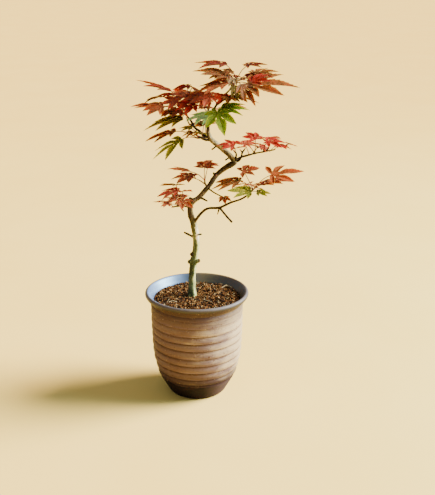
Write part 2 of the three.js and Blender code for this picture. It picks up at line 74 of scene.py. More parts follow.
# Trunk and boughs: x, y, z and radius down the middle of the wood. Spurs: start, end, and the radii there
TRUNK = [
    (-5, 5, 102, 4.8), (-5, 5, 108, 4.0), (-4.6, 5, 123, 3.55), (-3.2, 5, 138, 3.6), (-1.2, 5, 147, 3.3),
    (-0.3, 4, 160, 3.2), (-2, 2, 176, 3.25), (-6, 1, 193, 2.85), (-4.5, 2, 200, 2.6), (3, 4, 206, 2.3),
    (12, 6, 216, 2.3), (21, 9, 228, 2.45), (31, 8, 236, 2.8), (37.5, 6, 240.5, 2.75), (34.5, 4.5, 246, 2.65),
    (24.5, 1, 256, 2.6), (14, -3, 266, 2.45), (12, -3, 274, 1.8), (13, -2, 282, 1.4), (17, 0, 292, 1.15),
    (24, 4, 302, 1.0), (33, 6, 311, 0.85),
]
SPURS = [
    ((-3, 2.5, 165), (-12, -1, 171), 0.9, 0.5), ((-1, 3, 167), (5, -1, 169), 0.8, 0.4),
    ((-3, 5, 139), (2.6, 2, 140), 2.2, 1.2), ((-3, 5, 138), (-8, 3, 138.5), 2.3, 1.2),
    ((-2, 5, 147), (-5.4, 2.5, 146.5), 1.6, 0.9), ((-3, 3, 201.5), (-6.2, 1, 205.5), 1.4, 0.7),
    ((3, 4, 206), (11, -2, 203.5), 0.8, 0.5), ((19, 8, 225.5), (17, 5, 230), 0.9, 0.5),
    ((34, 4, 246.5), (28.5, 0, 244), 0.6, 0.4), ((25, 1, 256), (31, -2, 259), 1.2, 0.7),
    ((22, 0, 259), (15.5, -3, 255), 0.6, 0.4),
]
BOUGHS = {
    "bough_low_right": [(-2.5, 1, 180, 1.2), (4, -2, 190, 1.05), (11, -3, 196, 0.95), (23, -6, 198, 0.9),
                        (34, -9, 204, 0.75), (43, -10.5, 207.5, 0.68), (50, -12, 212, 0.62)],
    "bough_low_right_side": [(23, -6, 198, 0.85), (29, -9, 191, 0.8), (35, -12, 185, 0.75)],
    "bough_right_upper": [(38, 6, 240.5, 1.1), (41, 7, 243.5, 0.95), (44, 8, 245, 0.85),
                          (51, 9.5, 246.7, 0.75)],
    "bough_left_upper": [(14, -3, 266.5, 1.2), (8, -1, 268, 1.0), (4, 1, 272, 0.9), (-1, 4, 275, 0.8),
                         (-4, 7, 280, 0.7), (-10, 11, 287, 0.6)],
}

# How much the bark adds to the radius of a bough, a spur, a bare shoot and a mass's stem
BOUGH_BARK = 0.32
SPUR_BARK = 0.38
SHOOT_BARK = 0.3
STEM_BARK = 0.2

# How far off the trunk a limb takes on its own bark
LIMB_SHOWS = 0.6

# The least radius of a cut stub, round which the trunk swells, and how far from the trunk's middle that is
CUT_STUB = 1.3
COLLAR_REACH = 3.2

# Painted shade darkens the bark on its left and painted light pales it on its right, in patches: heights, and
# how far round it has to face
SHADE_PAINTED_BARK = [(112, 0.72), (130, 0.58), (164, 0.5), (176, 0.24), (200, 0.3), (234, 0.36), (246, 0.42)]
LIGHT_PAINTED_BARK = [
    (108, -0.46), (140, -0.4), (156, -0.5), (161, -0.3), (165, 0.1), (174, 0.1), (180, -0.4), (200, -0.66),
    (234, -0.66), (244, -0.16),
]

# Leaves: the lobes' angles from the middle one, their lengths as shares of the span, and the blade's build
LOBE_ANGLES = [-122, -78, -38, 0, 38, 78, 122]
LOBE_SHARES = [0.3, 0.6, 0.88, 1, 0.88, 0.6, 0.3]
LOBE_WIDTH = 0.195
SINUS = 0.3
LAST_SINUS = 0.12
LAST_SINUS_TURN = 32
FOLD = 0.35
DROOP = 0.1
LOBE_WANDER = 7
LENGTH_SHARE = (0.94, 1.06)
DROOP_SHARE = (0.6, 1.5)
PETIOLE_ROOT = 1.4
PETIOLE_BOW = 0.08

# The masses: how many leaves and finer shoots the rule grows, the way they tend to, their tints, and the
# stem. Each leaf that shows from the front: how far along the stem it sits, the foot of its blade, its turn,
# dip and roll, its span, how far its lobes spread, how many they are, and its tint. The extra leaves take
# their seeds last.
MASSES = {
    "foliage_top": dict(
        seed=101, grown=3, finer=6, towards=95, slot="red_leaves", tints=("crimson", "rust", "brown"),
        stem=[(33, 6, 311, 0.75), (36, 5.5, 315, 0.65), (39, 7, 320, 0.55)],
        leaves=[
            (1.0, (30, 12, 334), (181, -7, -3), 33, 0.85, 5, "garnet"),
            (1.0, (49, 16, 333), (3, -4, 4), 20, 1.1, 7, "garnet"),
            (0.7, (31, -4, 325), (178, -16, -8), 33, 0.8, 7, "umber"),
            (0.6, (31, -12, 320), (188, 9, -4), 33, 0.8, 5, "rust"),
            (0.5, (43, -20, 320), (-42, 42, 6), 24, 0.75, 5, "umber"),
            (0.7, (51, 6, 322), (22, -12, 6), 27, 0.9, 5, "scarlet"),
            (0.6, (49, -10, 319), (-3, -2, 18), 47, 0.9, 5, "brown"),
        ],
        extra=[
            (0.8, (52, -16, 321), (20, -22, 14), 22, 0.8, 5, "scarlet"),
            (0.5, (36, -8, 317), (-66, 44, 6), 16, 0.65, 5, "olive"),
            (0.8, (36, -2, 323), (-118, 22, 0), 14, 1.0, 5, "fawn"),
            (1.0, (35, 2, 329), (198, 4, -16), 14, 0.9, 5, "umber"),
        ]),
    "foliage_upper_left": dict(
        seed=211, grown=3, finer=7, towards=120, slot="red_leaves", tints=("wine", "crimson", "rust"),
        stem=[(-10, 11, 287, 0.6), (-10, 10, 291, 0.5), (-9, 9, 295, 0.4)],
        leaves=[
            (0.8, (-23, 16, 308), (178, -22, 4), 38, 0.7, 5, "garnet"),
            (1.0, (-6, 2, 315), (188, 8, -6), 17, 1.0, 7, "scarlet"),
            (1.0, (-4, 6, 314), (-25, 30, 0), 17, 0.4, 5, "wine"),
            (0.5, (-30, -14, 298), (183, 1, -20), 20, 0.95, 5, "rust"),
            (0.7, (-16, -6, 302), (190, 4, -24), 18, 1.1, 7, "crimson"),
            (0.9, (-6, 9, 305), (178, -3, -14), 22, 1.0, 7, "wine"),
            (0.3, (-14, -2, 293), (200, 14, -6), 20, 0.95, 5, "wine"),
            (0.1, (-11, -14, 287), (184, 7, -5), 37, 0.75, 5, "olive"),
        ],
        extra=[(0.9, (-22, 4, 307), (181, 5, -10), 15, 0.65, 5, "scarlet")]),
    "foliage_left_low": dict(
        seed=307, grown=2, finer=2, towards=150, slot="green_leaves", tints=("olive", "brown"),
        stem=[(13.5, -3, 267.5, 0.8), (8, -6, 267, 0.6), (2, -7, 267, 0.5)],
        leaves=[
            (1.0, (-19, 4, 272), (184, 15, -1), 30, 0.9, 5, "brown"),
            (0.9, (-3, -3, 276), (178, -2, -10), 13, 0.8, 5, "olive"),
            (1.0, (-13, -10, 267), (198, 27, -3), 35, 0.9, 5, "moss"),
        ]),
    "foliage_centre_red": dict(
        seed=401, grown=2, finer=8, towards=60, slot="red_leaves", tints=("wine", "crimson"),
        stem=[(13.5, -1.5, 284, 0.7), (12, 1, 290, 0.6), (13, 2, 296, 0.5)],
        leaves=[
            (0.9, (7, -13, 306), (182, 2, -16), 21, 1.1, 7, "crimson"),
            (1.0, (14, -14, 308), (205, 8, -20), 21, 1.2, 7, "crimson"),
            (0.7, (12, -2, 302), (196, 6, -18), 20, 1.1, 7, "wine"),
            (0.5, (-1, -16, 301), (200, 8, -24), 19, 1.0, 7, "scarlet"),
            (1.0, (18, 20, 300), (60, -4, 0), 28, 1.1, 7, "crimson"),
        ]),
    "foliage_centre_right": dict(
        seed=521, grown=1, finer=3, towards=20, slot="red_leaves", tints=("brown",),
        stem=[(20, 2, 297, 0.7), (23, -1, 299, 0.5), (25, -4, 301, 0.4)],
        leaves=[
            (0.9, (30, -16, 307), (185, 2, -20), 17, 1.1, 7, "scarlet"),
            (1.0, (33, -8, 306), (-5, 3, 8), 16, 1.1, 5, "brown"),
        ]),
    "foliage_centre_green": dict(
        seed=601, grown=0, finer=2, towards=-90, slot="green_leaves", tints=("green",),
        stem=[(14, -1.5, 286, 0.7), (15, -5, 288, 0.5), (16, -9, 290, 0.45)],
        leaves=[
            (1.0, (21, -28, 295), (-74, 38, 6), 24, 1.15, 7, "green"),
            # Painted light: this leaf, in the shade of the leaves above, takes a lighter green
            (0.8, (24, -17, 297), (0, -3, 20), 27, 0.75, 5, "meadow_lit"),
            # Mint: a pale green leaf, its colour raised with painted light and painted reflection of the sky
            (0.6, (9, -13, 290), (186, 14, -18), 18, 1.0, 7, "mint"),
        ],
        extra=[(0.8, (18, -18, 291.5), (186, 13, -24), 18, 1.0, 5, "mint")]),
    "foliage_right_small": dict(
        seed=701, grown=0, finer=1, towards=90, slot="red_leaves", tints=("scarlet",),
        stem=[(38, 5, 242, 0.7), (39, 1, 250, 0.5), (37.5, -2, 253, 0.4)],
        leaves=[(0.8, (37, -6, 259), (175, -13, -20), 17, 0.95, 5, "scarlet")]),
    "foliage_right_upper": dict(
        seed=809, grown=2, finer=4, towards=80, slot="red_leaves", tints=("scarlet", "crimson"),
        stem=[(51, 9.5, 246.7, 0.7), (58, 12, 248, 0.6), (67, 14, 249.2, 0.5), (76, 16, 250.5, 0.45)],
        leaves=[
            (0.05, (46, -4, 261), (6, -4, 20), 11, 1.2, 7, "crimson"),
            (0.3, (59, 16, 261), (130, -22, -10), 17, 1.0, 5, "scarlet"),
            (0.65, (68, 6, 261), (2, 0, 14), 21, 0.95, 7, "scarlet"),
        ]),
    "foliage_right_low": dict(
        seed=907, grown=2, finer=2, towards=60, slot="orange_leaves", tints=("rust", "orange"),
        stem=[(50, -12, 212, 0.6), (53, -13, 216, 0.55), (56, -14, 219, 0.45)],
        leaves=[
            (0.9, (45, -5, 234), (12, -10, 16), 17, 1.35, 5, "rust"),
            (0.8, (43, -15, 228), (184, 13, -5), 30, 0.75, 7, "bronze"),
            (0.3, (53, -20, 218), (182, -3, -14), 24, 0.9, 5, "lime"),
            (0.5, (59, -14, 216), (-2, 4, 12), 13, 1.0, 5, "lime"),
            (1.0, (72, -20, 235), (5, -8, 14), 31, 1.2, 5, "orange"),
        ]),
    "foliage_small_middle": dict(
        seed=1009, grown=0, finer=0, towards=-60, slot="orange_leaves", tints=("rust",),
        stem=[(11, 6, 215, 0.7), (17, -2, 212.5, 0.55), (25, -9, 210, 0.45)],
        leaves=[(1.0, (27, -13, 210.5), (-80, 22, 5), 10, 1.1, 7, "rust")]),
    "foliage_mid_left": dict(
        seed=1103, grown=2, finer=1, towards=130, slot="orange_leaves", tints=("rust", "crimson"),
        stem=[(11, 6, 215, 0.8), (9, -1, 221, 0.6), (8.5, -3, 225, 0.5)],
        leaves=[
            (1.0, (8, -2, 237), (68, -20, 0), 19, 1.1, 5, "rust"),
            (1.0, (-5, -8, 235), (178, -12, 4), 22, 0.6, 5, "rust"),
        ]),
    "foliage_low_left": dict(
        seed=1201, grown=2, finer=5, towards=150, slot="red_leaves", tints=("crimson", "wine"),
        stem=[(-6, 1, 196, 0.8), (-12, -4, 199, 0.65), (-17, -7, 200, 0.55), (-22, -9, 199.5, 0.5)],
        leaves=[
            (0.7, (-18, 2, 219), (150, 4, 10), 20, 1.2, 5, "brown"),
            (0.7, (-17, -8, 216), (188, 10, -8), 22, 0.85, 7, "crimson"),
            (1.0, (-30, -14, 207), (182, 2, 0), 12, 0.35, 5, "wine"),
            (0.75, (-19, -12, 209), (200, 16, -6), 9, 0.7, 5, "wine"),
            (0.6, (-14, -14, 207), (-30, 16, 16), 15, 1.3, 7, "rust"),
        ]),
}

# What the rule draws for a grown leaf, each from its least to its most
GROWN = dict(
    along=(0.3, 1), swing=(-70, 70), reach=(12, 24), rise=(3, 13), aside=(-25, 25), dip=(-6, 14),
    roll=(-12, 12), span=(19, 30), fan=(0.8, 1.1),
)

# What it draws for a finer shoot and for each of its two small leaves, and how clear of the wood they stay
FINER_SHOOT = dict(along=(0.1, 1), swing=(-110, 110), length=(6, 15), rise=(0.0, 0.9), bow=(0.02, 0.14))
FINER_LEAF = dict(turn=(22, 50), reach=(2, 5), dip=(-8, 26), roll=(-24, 24), span=(7, 13.5), fan=(0.8, 1.15))
WOOD_CLEARANCE = 1.6

# Tints of autumn, as red, green and blue of 255; the meadow green is painted light for a leaf shaded by
# others, and mint a pale green raised with painted light and painted reflection of the sky
TINTS = {
    "crimson": (146, 66, 42), "scarlet": (124, 32, 18), "rust": (116, 62, 32), "brown": (104, 64, 28),
    "olive": (76, 68, 20), "green": (80, 94, 18), "lime": (100, 104, 32), "mint": (180, 246, 176),
    "wine": (142, 78, 50), "orange": (128, 66, 26), "bronze": (94, 60, 26), "moss": (108, 110, 48),
    "garnet": (78, 29, 14), "umber": (80, 46, 18), "meadow_lit": (112, 132, 32), "fawn": (124, 104, 72),
}

# How much slimmer or broader the lobes of some tints are
BREADTH = {
    "orange": 0.72, "moss": 0.75, "brown": 0.85, "umber": 0.95, "garnet": 0.8, "bronze": 1.1, "rust": 1.15,
}

# Bare shoots and stubs: x, y and z down each, and its radii at its start and its end
SHOOTS = [
    ([(38, 6, 240.5), (42, 5, 242.5), (44, 3, 246.5), (45, 1, 251), (47, 0, 254.5)], 0.75, 0.45),
    ([(44.5, 2, 249.5), (44.5, 0, 252), (43.5, -1, 253.5)], 0.5, 0.35),
    ([(39, 4, 242.5), (39, 1, 247.5), (39, 0, 250.5), (37, -1, 253)], 0.7, 0.4),
    ([(-3, 3, 204), (-3.5, -2, 204.5), (-3, -4, 204)], 0.8, 0.5),
    ([(18, 8, 226), (19, 3, 230), (19.5, 0, 229.5)], 0.7, 0.4),
    ([(22.8, -6, 197.8), (22, -7, 195), (21.5, -8, 193.5)], 0.55, 0.35),
    ([(-15.5, -6, 199.6), (-14, -5, 196.5), (-13, -4, 194.8)], 0.5, 0.35),
    ([(13, -3.5, 264.5), (9, -5, 265), (5, -5, 267), (0.5, -4, 269.5)], 1.0, 0.5),
    ([(9, -5, 265), (6, -7, 268), (3.5, -8, 268.5)], 0.5, 0.3),
    ([(-2, 4, 276), (-6, 2, 279), (-8, 0, 284)], 0.55, 0.3),
    ([(17, 0, 292), (20, 3, 297), (19, 6, 301)], 0.55, 0.3),
    ([(36, 5.5, 315), (33, 8, 320), (31, 9, 323)], 0.5, 0.3),
    ([(67, 14, 249.2), (70, 12, 252), (71, 10, 255)], 0.45, 0.3),
]


# Seeded numbers from 0 to 1

MODULUS = 2**31 - 1


def seeded(seed):
    state = seed
    while True:
        state = state * 48271 % MODULUS
        yield state / MODULUS


def between(limits, draws):
    return limits[0] + (limits[1] - limits[0]) * next(draws)


def draw_each(rule, draws):
    """One draw for each entry of a rule, in their order"""
    return {key: between(limits, draws) for key, limits in rule.items()}


def lattice(cells, seed):
    """A number from -1 to 1 for each whole-number cell"""
    x, y, z = (cells[..., i].astype(np.uint64) for i in range(3))
    mixed = x * np.uint64(73856093) ^ y * np.uint64(19349663) ^ z * np.uint64(83492791)
    mixed = (mixed ^ np.uint64(seed * 2654435761 % 2**32)) & np.uint64(0xFFFFFFFF)
    mixed = (mixed ^ (mixed >> np.uint64(13))) * np.uint64(1274126177) & np.uint64(0xFFFFFFFF)
    mixed = mixed ^ (mixed >> np.uint64(16))
    return (mixed & np.uint64(0xFFFF)).astype(float) / 32767.5 - 1


def wander(points, size, seed=0):
    """Smooth noise from -1 to 1 at each point, with swells of about this size"""
    scaled = np.asarray(points, float) / size
    base = np.floor(scaled).astype(np.int64)
    part = ease(scaled - base)
    total = 0
    for corner in np.ndindex(2, 2, 2):
        weight = np.prod(np.where(np.array(corner) == 1, part, 1 - part), axis=-1)
        total = total + weight * lattice(base + np.array(corner), seed)
    return total


def ease(value):
    """From 0 to 1 with a soft start and a soft end"""
    value = np.clip(value, 0, 1)
    return value * value * (3 - 2 * value)


def bump(distance, width):
    """1 at no distance, and less the further off"""
    return np.exp(-(distance / width) ** 2)


# Lines and meshes

def unit(vector):
    return vector / np.linalg.norm(vector)


def bearing(degrees, rise=0.0):
    """The way that an angle of the ground plan points, with a rise"""
    angle = math.radians(degrees)
    return np.array([math.cos(angle), math.sin(angle), rise])


def on_curve(points, share):
    """The place at a share of a smooth centripetal line through the points; columns past xyz run straight"""
    rows = np.asarray(points, float)
    spot = share * (len(rows) - 1)
    low = min(int(spot), len(rows) - 2)
    w = spot - low
    p1, p2 = rows[low, :3], rows[low + 1, :3]
    p0 = rows[low - 1, :3] if low > 0 else 2 * p1 - p2
    p3 = rows[low + 2, :3] if low + 2 < len(rows) else 2 * p2 - p1
    d0, d1, d2 = (max(np.linalg.norm(b - a), 1e-8) ** 0.5 for a, b in ((p0, p1), (p1, p2), (p2, p3)))
    m1 = ((p1 - p0) / d0 - (p2 - p0) / (d0 + d1) + (p2 - p1) / d1) * d1
    m2 = ((p2 - p1) / d1 - (p3 - p1) / (d1 + d2) + (p3 - p2) / d2) * d1
    place = p1 + m1 * w + (3 * (p2 - p1) - 2 * m1 - m2) * w**2 + (2 * (p1 - p2) + m1 + m2) * w**3
    rest = rows[low, 3:] + (rows[low + 1, 3:] - rows[low, 3:]) * w
    return np.concatenate([place, rest])


def smooth_line(points, steps):
    count = (len(points) - 1) * steps
    return np.array([on_curve(points, i / count) for i in range(count + 1)])


def thick_line(places, radii, steps):
    """A smooth line through places, with a radius at each"""
    return smooth_line([(*place, radius) for place, radius in zip(places, radii)], steps)


def circle(sides):
    turn = 2 * np.pi * np.arange(sides) / sides
    return np.cos(turn), np.sin(turn)


def grid(rows, columns, wrap=False):
    """Triangles over rows of points"""
    index = np.arange(rows * columns).reshape(rows, columns)
    if wrap:
        index = np.hstack([index, index[:, :1]])
    a, b, d, c = index[:-1, :-1], index[:-1, 1:], index[1:, :-1], index[1:, 1:]
    return np.stack([np.stack([a, b, c], -1), np.stack([a, c, d], -1)], -2).reshape(-1, 3)


def frames(line):
    """Two directions across a line at each of its points, without twist, and its tangents"""
    tangents = np.gradient(line[:, :3], axis=0)
    tangents /= np.linalg.norm(tangents, axis=1, keepdims=True)
    across = unit(np.cross(tangents[0], (0.31, 0.87, 0.38)))
    acrosses = []
    for tangent in tangents:
        across = unit(across - tangent * (across @ tangent))
        acrosses.append(across)
    acrosses = np.array(acrosses)
    return acrosses, np.cross(tangents, acrosses), tangents


def tube(line, sides):
    """A closed tube down a line of x, y, z and radius, with blunt round ends"""
    line = np.asarray(line, float)
    ends = line[[0, -1]]
    across, other, tangents = frames(line)
    ends[:, :3] += tangents[[0, -1]] * ends[:, 3:] * [[-0.4], [0.4]]
    ends[:, 3] *= 0.6
    line = np.concatenate([ends[:1], line, ends[1:]])
    across, other = (np.concatenate([rows[:1], rows, rows[-1:]]) for rows in (across, other))
    cosines, sines = (values[None, :, None] for values in circle(sides))
    points = line[:, None, :3] + line[:, 3:, None] * (cosines * across[:, None] + sines * other[:, None])
    around = np.arange(sides)
    after = (around + 1) % sides
    low = len(line) * sides
    top = low - sides
    caps = [np.stack([np.full(sides, low), after, around], -1),
            np.stack([np.full(sides, low + 1), top + around, top + after], -1)]
    points = np.concatenate([points.reshape(-1, 3), line[[0, -1], :3]])
    return points, np.concatenate([grid(len(line), sides, True), *caps])


class Heap:
    """Many small shapes, in millimetres, that become one mesh"""

    def __init__(self):
        self.points, self.faces, self.slots, self.count = [], [], [], 0

    def add(self, points, faces, slot=0):
        self.points.append(points)
        self.faces.append(faces + self.count)
        self.slots.append(np.broadcast_to(slot, len(faces)))
        self.count += len(points)

    def mesh(self, name, scale=MM):
        mesh = bpy.data.meshes.new(name)
        points = np.concatenate(self.points) * scale
        mesh.from_pydata(points.tolist(), [], np.concatenate(self.faces).tolist())
        mesh.polygons.foreach_set("material_index", np.concatenate(self.slots).astype(np.int32))
        return mesh


def welded(mesh, distance, sharp):
    """Joins points closer than the distance, which drops empty triangles, and keeps sharp edges sharp"""
    body = bmesh.new()
    body.from_mesh(mesh)
    bmesh.ops.remove_doubles(body, verts=body.verts, dist=distance * MM)
    bmesh.ops.dissolve_degenerate(body, edges=body.edges, dist=distance * MM / 4)
    body.to_mesh(mesh)
    body.free()
    mesh.shade_smooth()
    if sharp:
        mesh.set_sharp_from_angle(angle=math.radians(sharp))
    return mesh


def shown(name, data):
    thing = bpy.data.objects.new(name, data)
    bpy.context.scene.collection.objects.link(thing)
    return thing


def put(heap, name, gap, materials, slot, *nodes, sharp=None):
    """A piece of the visible part, welded from a heap of shapes and riding on its one body"""
    mesh = welded(heap.mesh(name), gap, sharp)
    for material in materials:
        mesh.materials.append(material)
    piece = shown(name, mesh)
    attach(piece, "root")
    if nodes:
        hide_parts(*nodes)


# Materials

def linear(colour):
    """Red, green and blue of 255 as Blender's own colour"""
    parts = [c / 255 for c in colour]
    return tuple(c / 12.92 if c <= 0.04045 else ((c + 0.055) / 1.055) ** 2.4 for c in parts) + (1.0,)


class Surface:
    """A procedural material, whose patterns are sized in millimetres"""

    def __init__(self, name, **sockets):
        self.material = bpy.data.materials.new(name)
        self.material.use_nodes = True
        self.tree = self.material.node_tree
        self.shader = self.tree.nodes["Principled BSDF"]
        self.place = self.node("ShaderNodeTexCoord").outputs["Object"]
        self.fill(self.shader, sockets)

    def feed(self, socket, value):
        if isinstance(value, bpy.types.NodeSocket):
            self.tree.links.new(value, socket)
        else:
            socket.default_value = value

    def fill(self, node, sockets):
        for key, value in sockets.items():
            self.feed(node.inputs[key.replace("_", " ")], value)

    def node(self, kind, settings=None, **sockets):
        node = self.tree.nodes.new(kind)
        for key, value in (settings or {}).items():
            setattr(node, key, value)
        self.fill(node, sockets)
        return node

    def along(self, axis):
        """How far along X or Z each spot lies, in metres"""
        return self.node("ShaderNodeSeparateXYZ", Vector=self.place).outputs[axis]

    def mapped(self, size, stretch):
        scale = [1 / (size * MM * s) for s in stretch]
        return self.node("ShaderNodeMapping", Vector=self.place, Scale=scale).outputs[0]

    def noise(self, size, stretch=(1, 1, 1), detail=4.0, roughness=0.55):
        where = self.mapped(size, stretch)
        node = self.node("ShaderNodeTexNoise", Vector=where, Scale=1.0, Detail=detail, Roughness=roughness)
        return node.outputs["Fac"]

    def cells(self, size, stretch):
        where = self.mapped(size, stretch)
        return self.node("ShaderNodeTexVoronoi", Vector=where, Scale=1.0).outputs["Distance"]

    def ramp(self, factor, *stops):
        node = self.node("ShaderNodeValToRGB", Fac=factor)
        elements = node.color_ramp.elements
        while len(elements) < len(stops):
            elements.new(0.5)
        for element, (spot, colour) in zip(elements, stops):
            element.position = spot
            element.color = linear(colour)
        return node.outputs["Color"]

    def spread(self, value, start, end, to_start=0.0, to_end=1.0):
        limits = dict(From_Min=start, From_Max=end, To_Min=to_start, To_Max=to_end)
        return self.node("ShaderNodeMapRange", Value=value, **limits).outputs[0]

    def even(self, noise, least, most):
        """A noise brought from where most of it lies to these limits"""
        return self.spread(noise, 0.3, 0.7, least, most)

    def mix(self, factor, first, second):
        node = self.node("ShaderNodeMix", {"data_type": "RGBA", "clamp_factor": True})
        for index, value in ((0, factor), (6, first), (7, second)):
            self.feed(node.inputs[index], value)
        return node.outputs[2]

    def over(self, base, value, start, end, share, colour):
        """Lays a colour over the base, from none at the start to this share at the end"""
        return self.mix(self.spread(value, start, end, 0.0, share), base, linear(colour))

    def add(self, first, second, share=1.0):
        node = self.node("ShaderNodeMath", {"operation": "MULTIPLY_ADD"})
        for index, value in enumerate((second, share, first)):
            self.feed(node.inputs[index], value)
        return node.outputs[0]

    def finish(self, colour, roughness, height=None, depth=0.1, strength=1.0):
        self.fill(self.shader, dict(Base_Color=colour, Roughness=roughness))
        if height is not None:
            bumps = self.node("ShaderNodeBump", Height=height, Strength=strength, Distance=depth * MM)
            self.feed(self.shader.inputs["Normal"], bumps.outputs[0])
        return self.material


def shifted(colour, brighter=1.0, redder=0):
    return tuple(min(255, max(0, c * brighter + d)) for c, d in zip(colour, (redder, -redder / 3, 0)))


def blended(colour, other, share):
    return tuple((1 - share) * c + share * d for c, d in zip(colour, other))


def grained(name, sockets, cloud, stops, grain, roughness, depth, strength):
    """A cloudy tone, and a fine grain that makes it rougher and smoother and gives it relief"""
    surface = Surface(name, **sockets)
    base = surface.ramp(surface.noise(**cloud), *stops)
    fine = surface.noise(**grain)
    return surface.finish(base, surface.even(fine, *roughness), fine, depth, strength)


def leaf_materials(name, colour):
    """Upper side, under side and ribs of one tint, through which light passes a little way"""
    brightest = max(linear(colour)[:3])
    through = tuple(0.15 + 0.85 * c / brightest for c in linear(colour)[:3])
    thin = dict(Subsurface_Weight=0.42, Subsurface_Radius=through, Subsurface_Scale=0.8 * MM,
                Specular_IOR_Level=0.07, Specular_Tint=(1.0, 0.8, 0.55, 1.0))
    cloud = dict(size=5.5, detail=5.0)
    stops = ((0.3, shifted(colour, 0.78, -6)), (0.52, colour), (0.72, shifted(colour, 1.12, 10)))
    grain = dict(size=0.5, detail=3.0)
    upper = grained(f"{name}_upper", thin, cloud, stops, grain, (0.5, 0.68), 0.06, 0.6)
    pale = blended(colour, (150, 96, 60), 0.14)
    stops = ((0.32, shifted(pale, 0.84)), (0.7, shifted(pale, 1.08)))
    grain = dict(size=0.4, detail=3.0)
    under = grained(f"{name}_under", thin, cloud, stops, grain, (0.6, 0.8), 0.05, 0.5)
    rib = Surface(f"{name}_rib", Specular_IOR_Level=0.35)
    pale = blended(colour, (180, 100, 50), 0.26)
    fine = rib.noise(0.8, detail=2.0)
    base = rib.ramp(fine, (0.3, shifted(pale, 0.88)), (0.7, shifted(pale, 1.08)))
    return [upper, under, rib.finish(base, 0.55, fine, 0.04, 0.5)]


# Pot

# The pot's slots of material; hollow, groove and underside hold darker copies of the clay, painted shade
BODY, IRON, GLAZE, GROOVE, LIP, HOLLOW, UNDERSIDE = range(7)

# Columns round it, the gap between its rows, and the row of the lip at which the inside's glaze begins
POT_AROUND = 264
ROW_GAP = 0.56
CREST_ROW = 29

# How deep a groove is where the painted shade of its hollow begins, and where its darker painted shade does
HOLLOW_SHADE_DEPTH = 0.3
GROOVE_SHADE_DEPTH = 0.72

# The underside of a hoop: how fast the outline swells there with each row, and up to where; its clay is
# painted shade, darker and bluer to offset the floor's warm bounce light
UNDERSIDE_RISE = 0.04
UNDERSIDE_TOP = 0.2

# Where the iron of the foot ends, and where the bare clay of the lip begins
IRON_EDGE = 17.4
LIP_EDGE = 104.3


def outline_curve(outline, steps):
    """Radius and height down a smooth line through heights and radii"""
    return smooth_line([(r, 0, z) for z, r in outline], steps)[:, [0, 2]]


def ribs(height):
    """How far the thrower's hoops and grooves stand off the body at each height"""
    edges = np.array(GROOVES, float)
    index = np.clip(np.searchsorted(edges, height, side="right") - 1, 0, len(edges) - 2)
    low, high = edges[index], edges[index + 1]
    part = np.clip((height - low) / (high - low), 0, 1)
    rising = np.sin(0.5 * np.pi * np.clip(part / HOOP_PEAK, 0, 1)) ** 0.7
    falling = np.cos(0.5 * np.pi * np.clip((part - HOOP_PEAK) / (1 - HOOP_PEAK), 0, 1)) ** 0.8
    hoop = (GROOVE_DEPTH + HOOP_SWELL) * np.where(part < HOOP_PEAK, rising, falling) - GROOVE_DEPTH
    below = np.clip((edges[0] - height) / 3, 0, 1)
    above = np.clip((height - edges[-1]) / 1.5, 0, 1)
    return np.select([height < edges[0], height > edges[-1]],
                     [-GROOVE_DEPTH * (1 - below) ** 2, -GROOVE_DEPTH * (1 - above) ** 2], hoop)


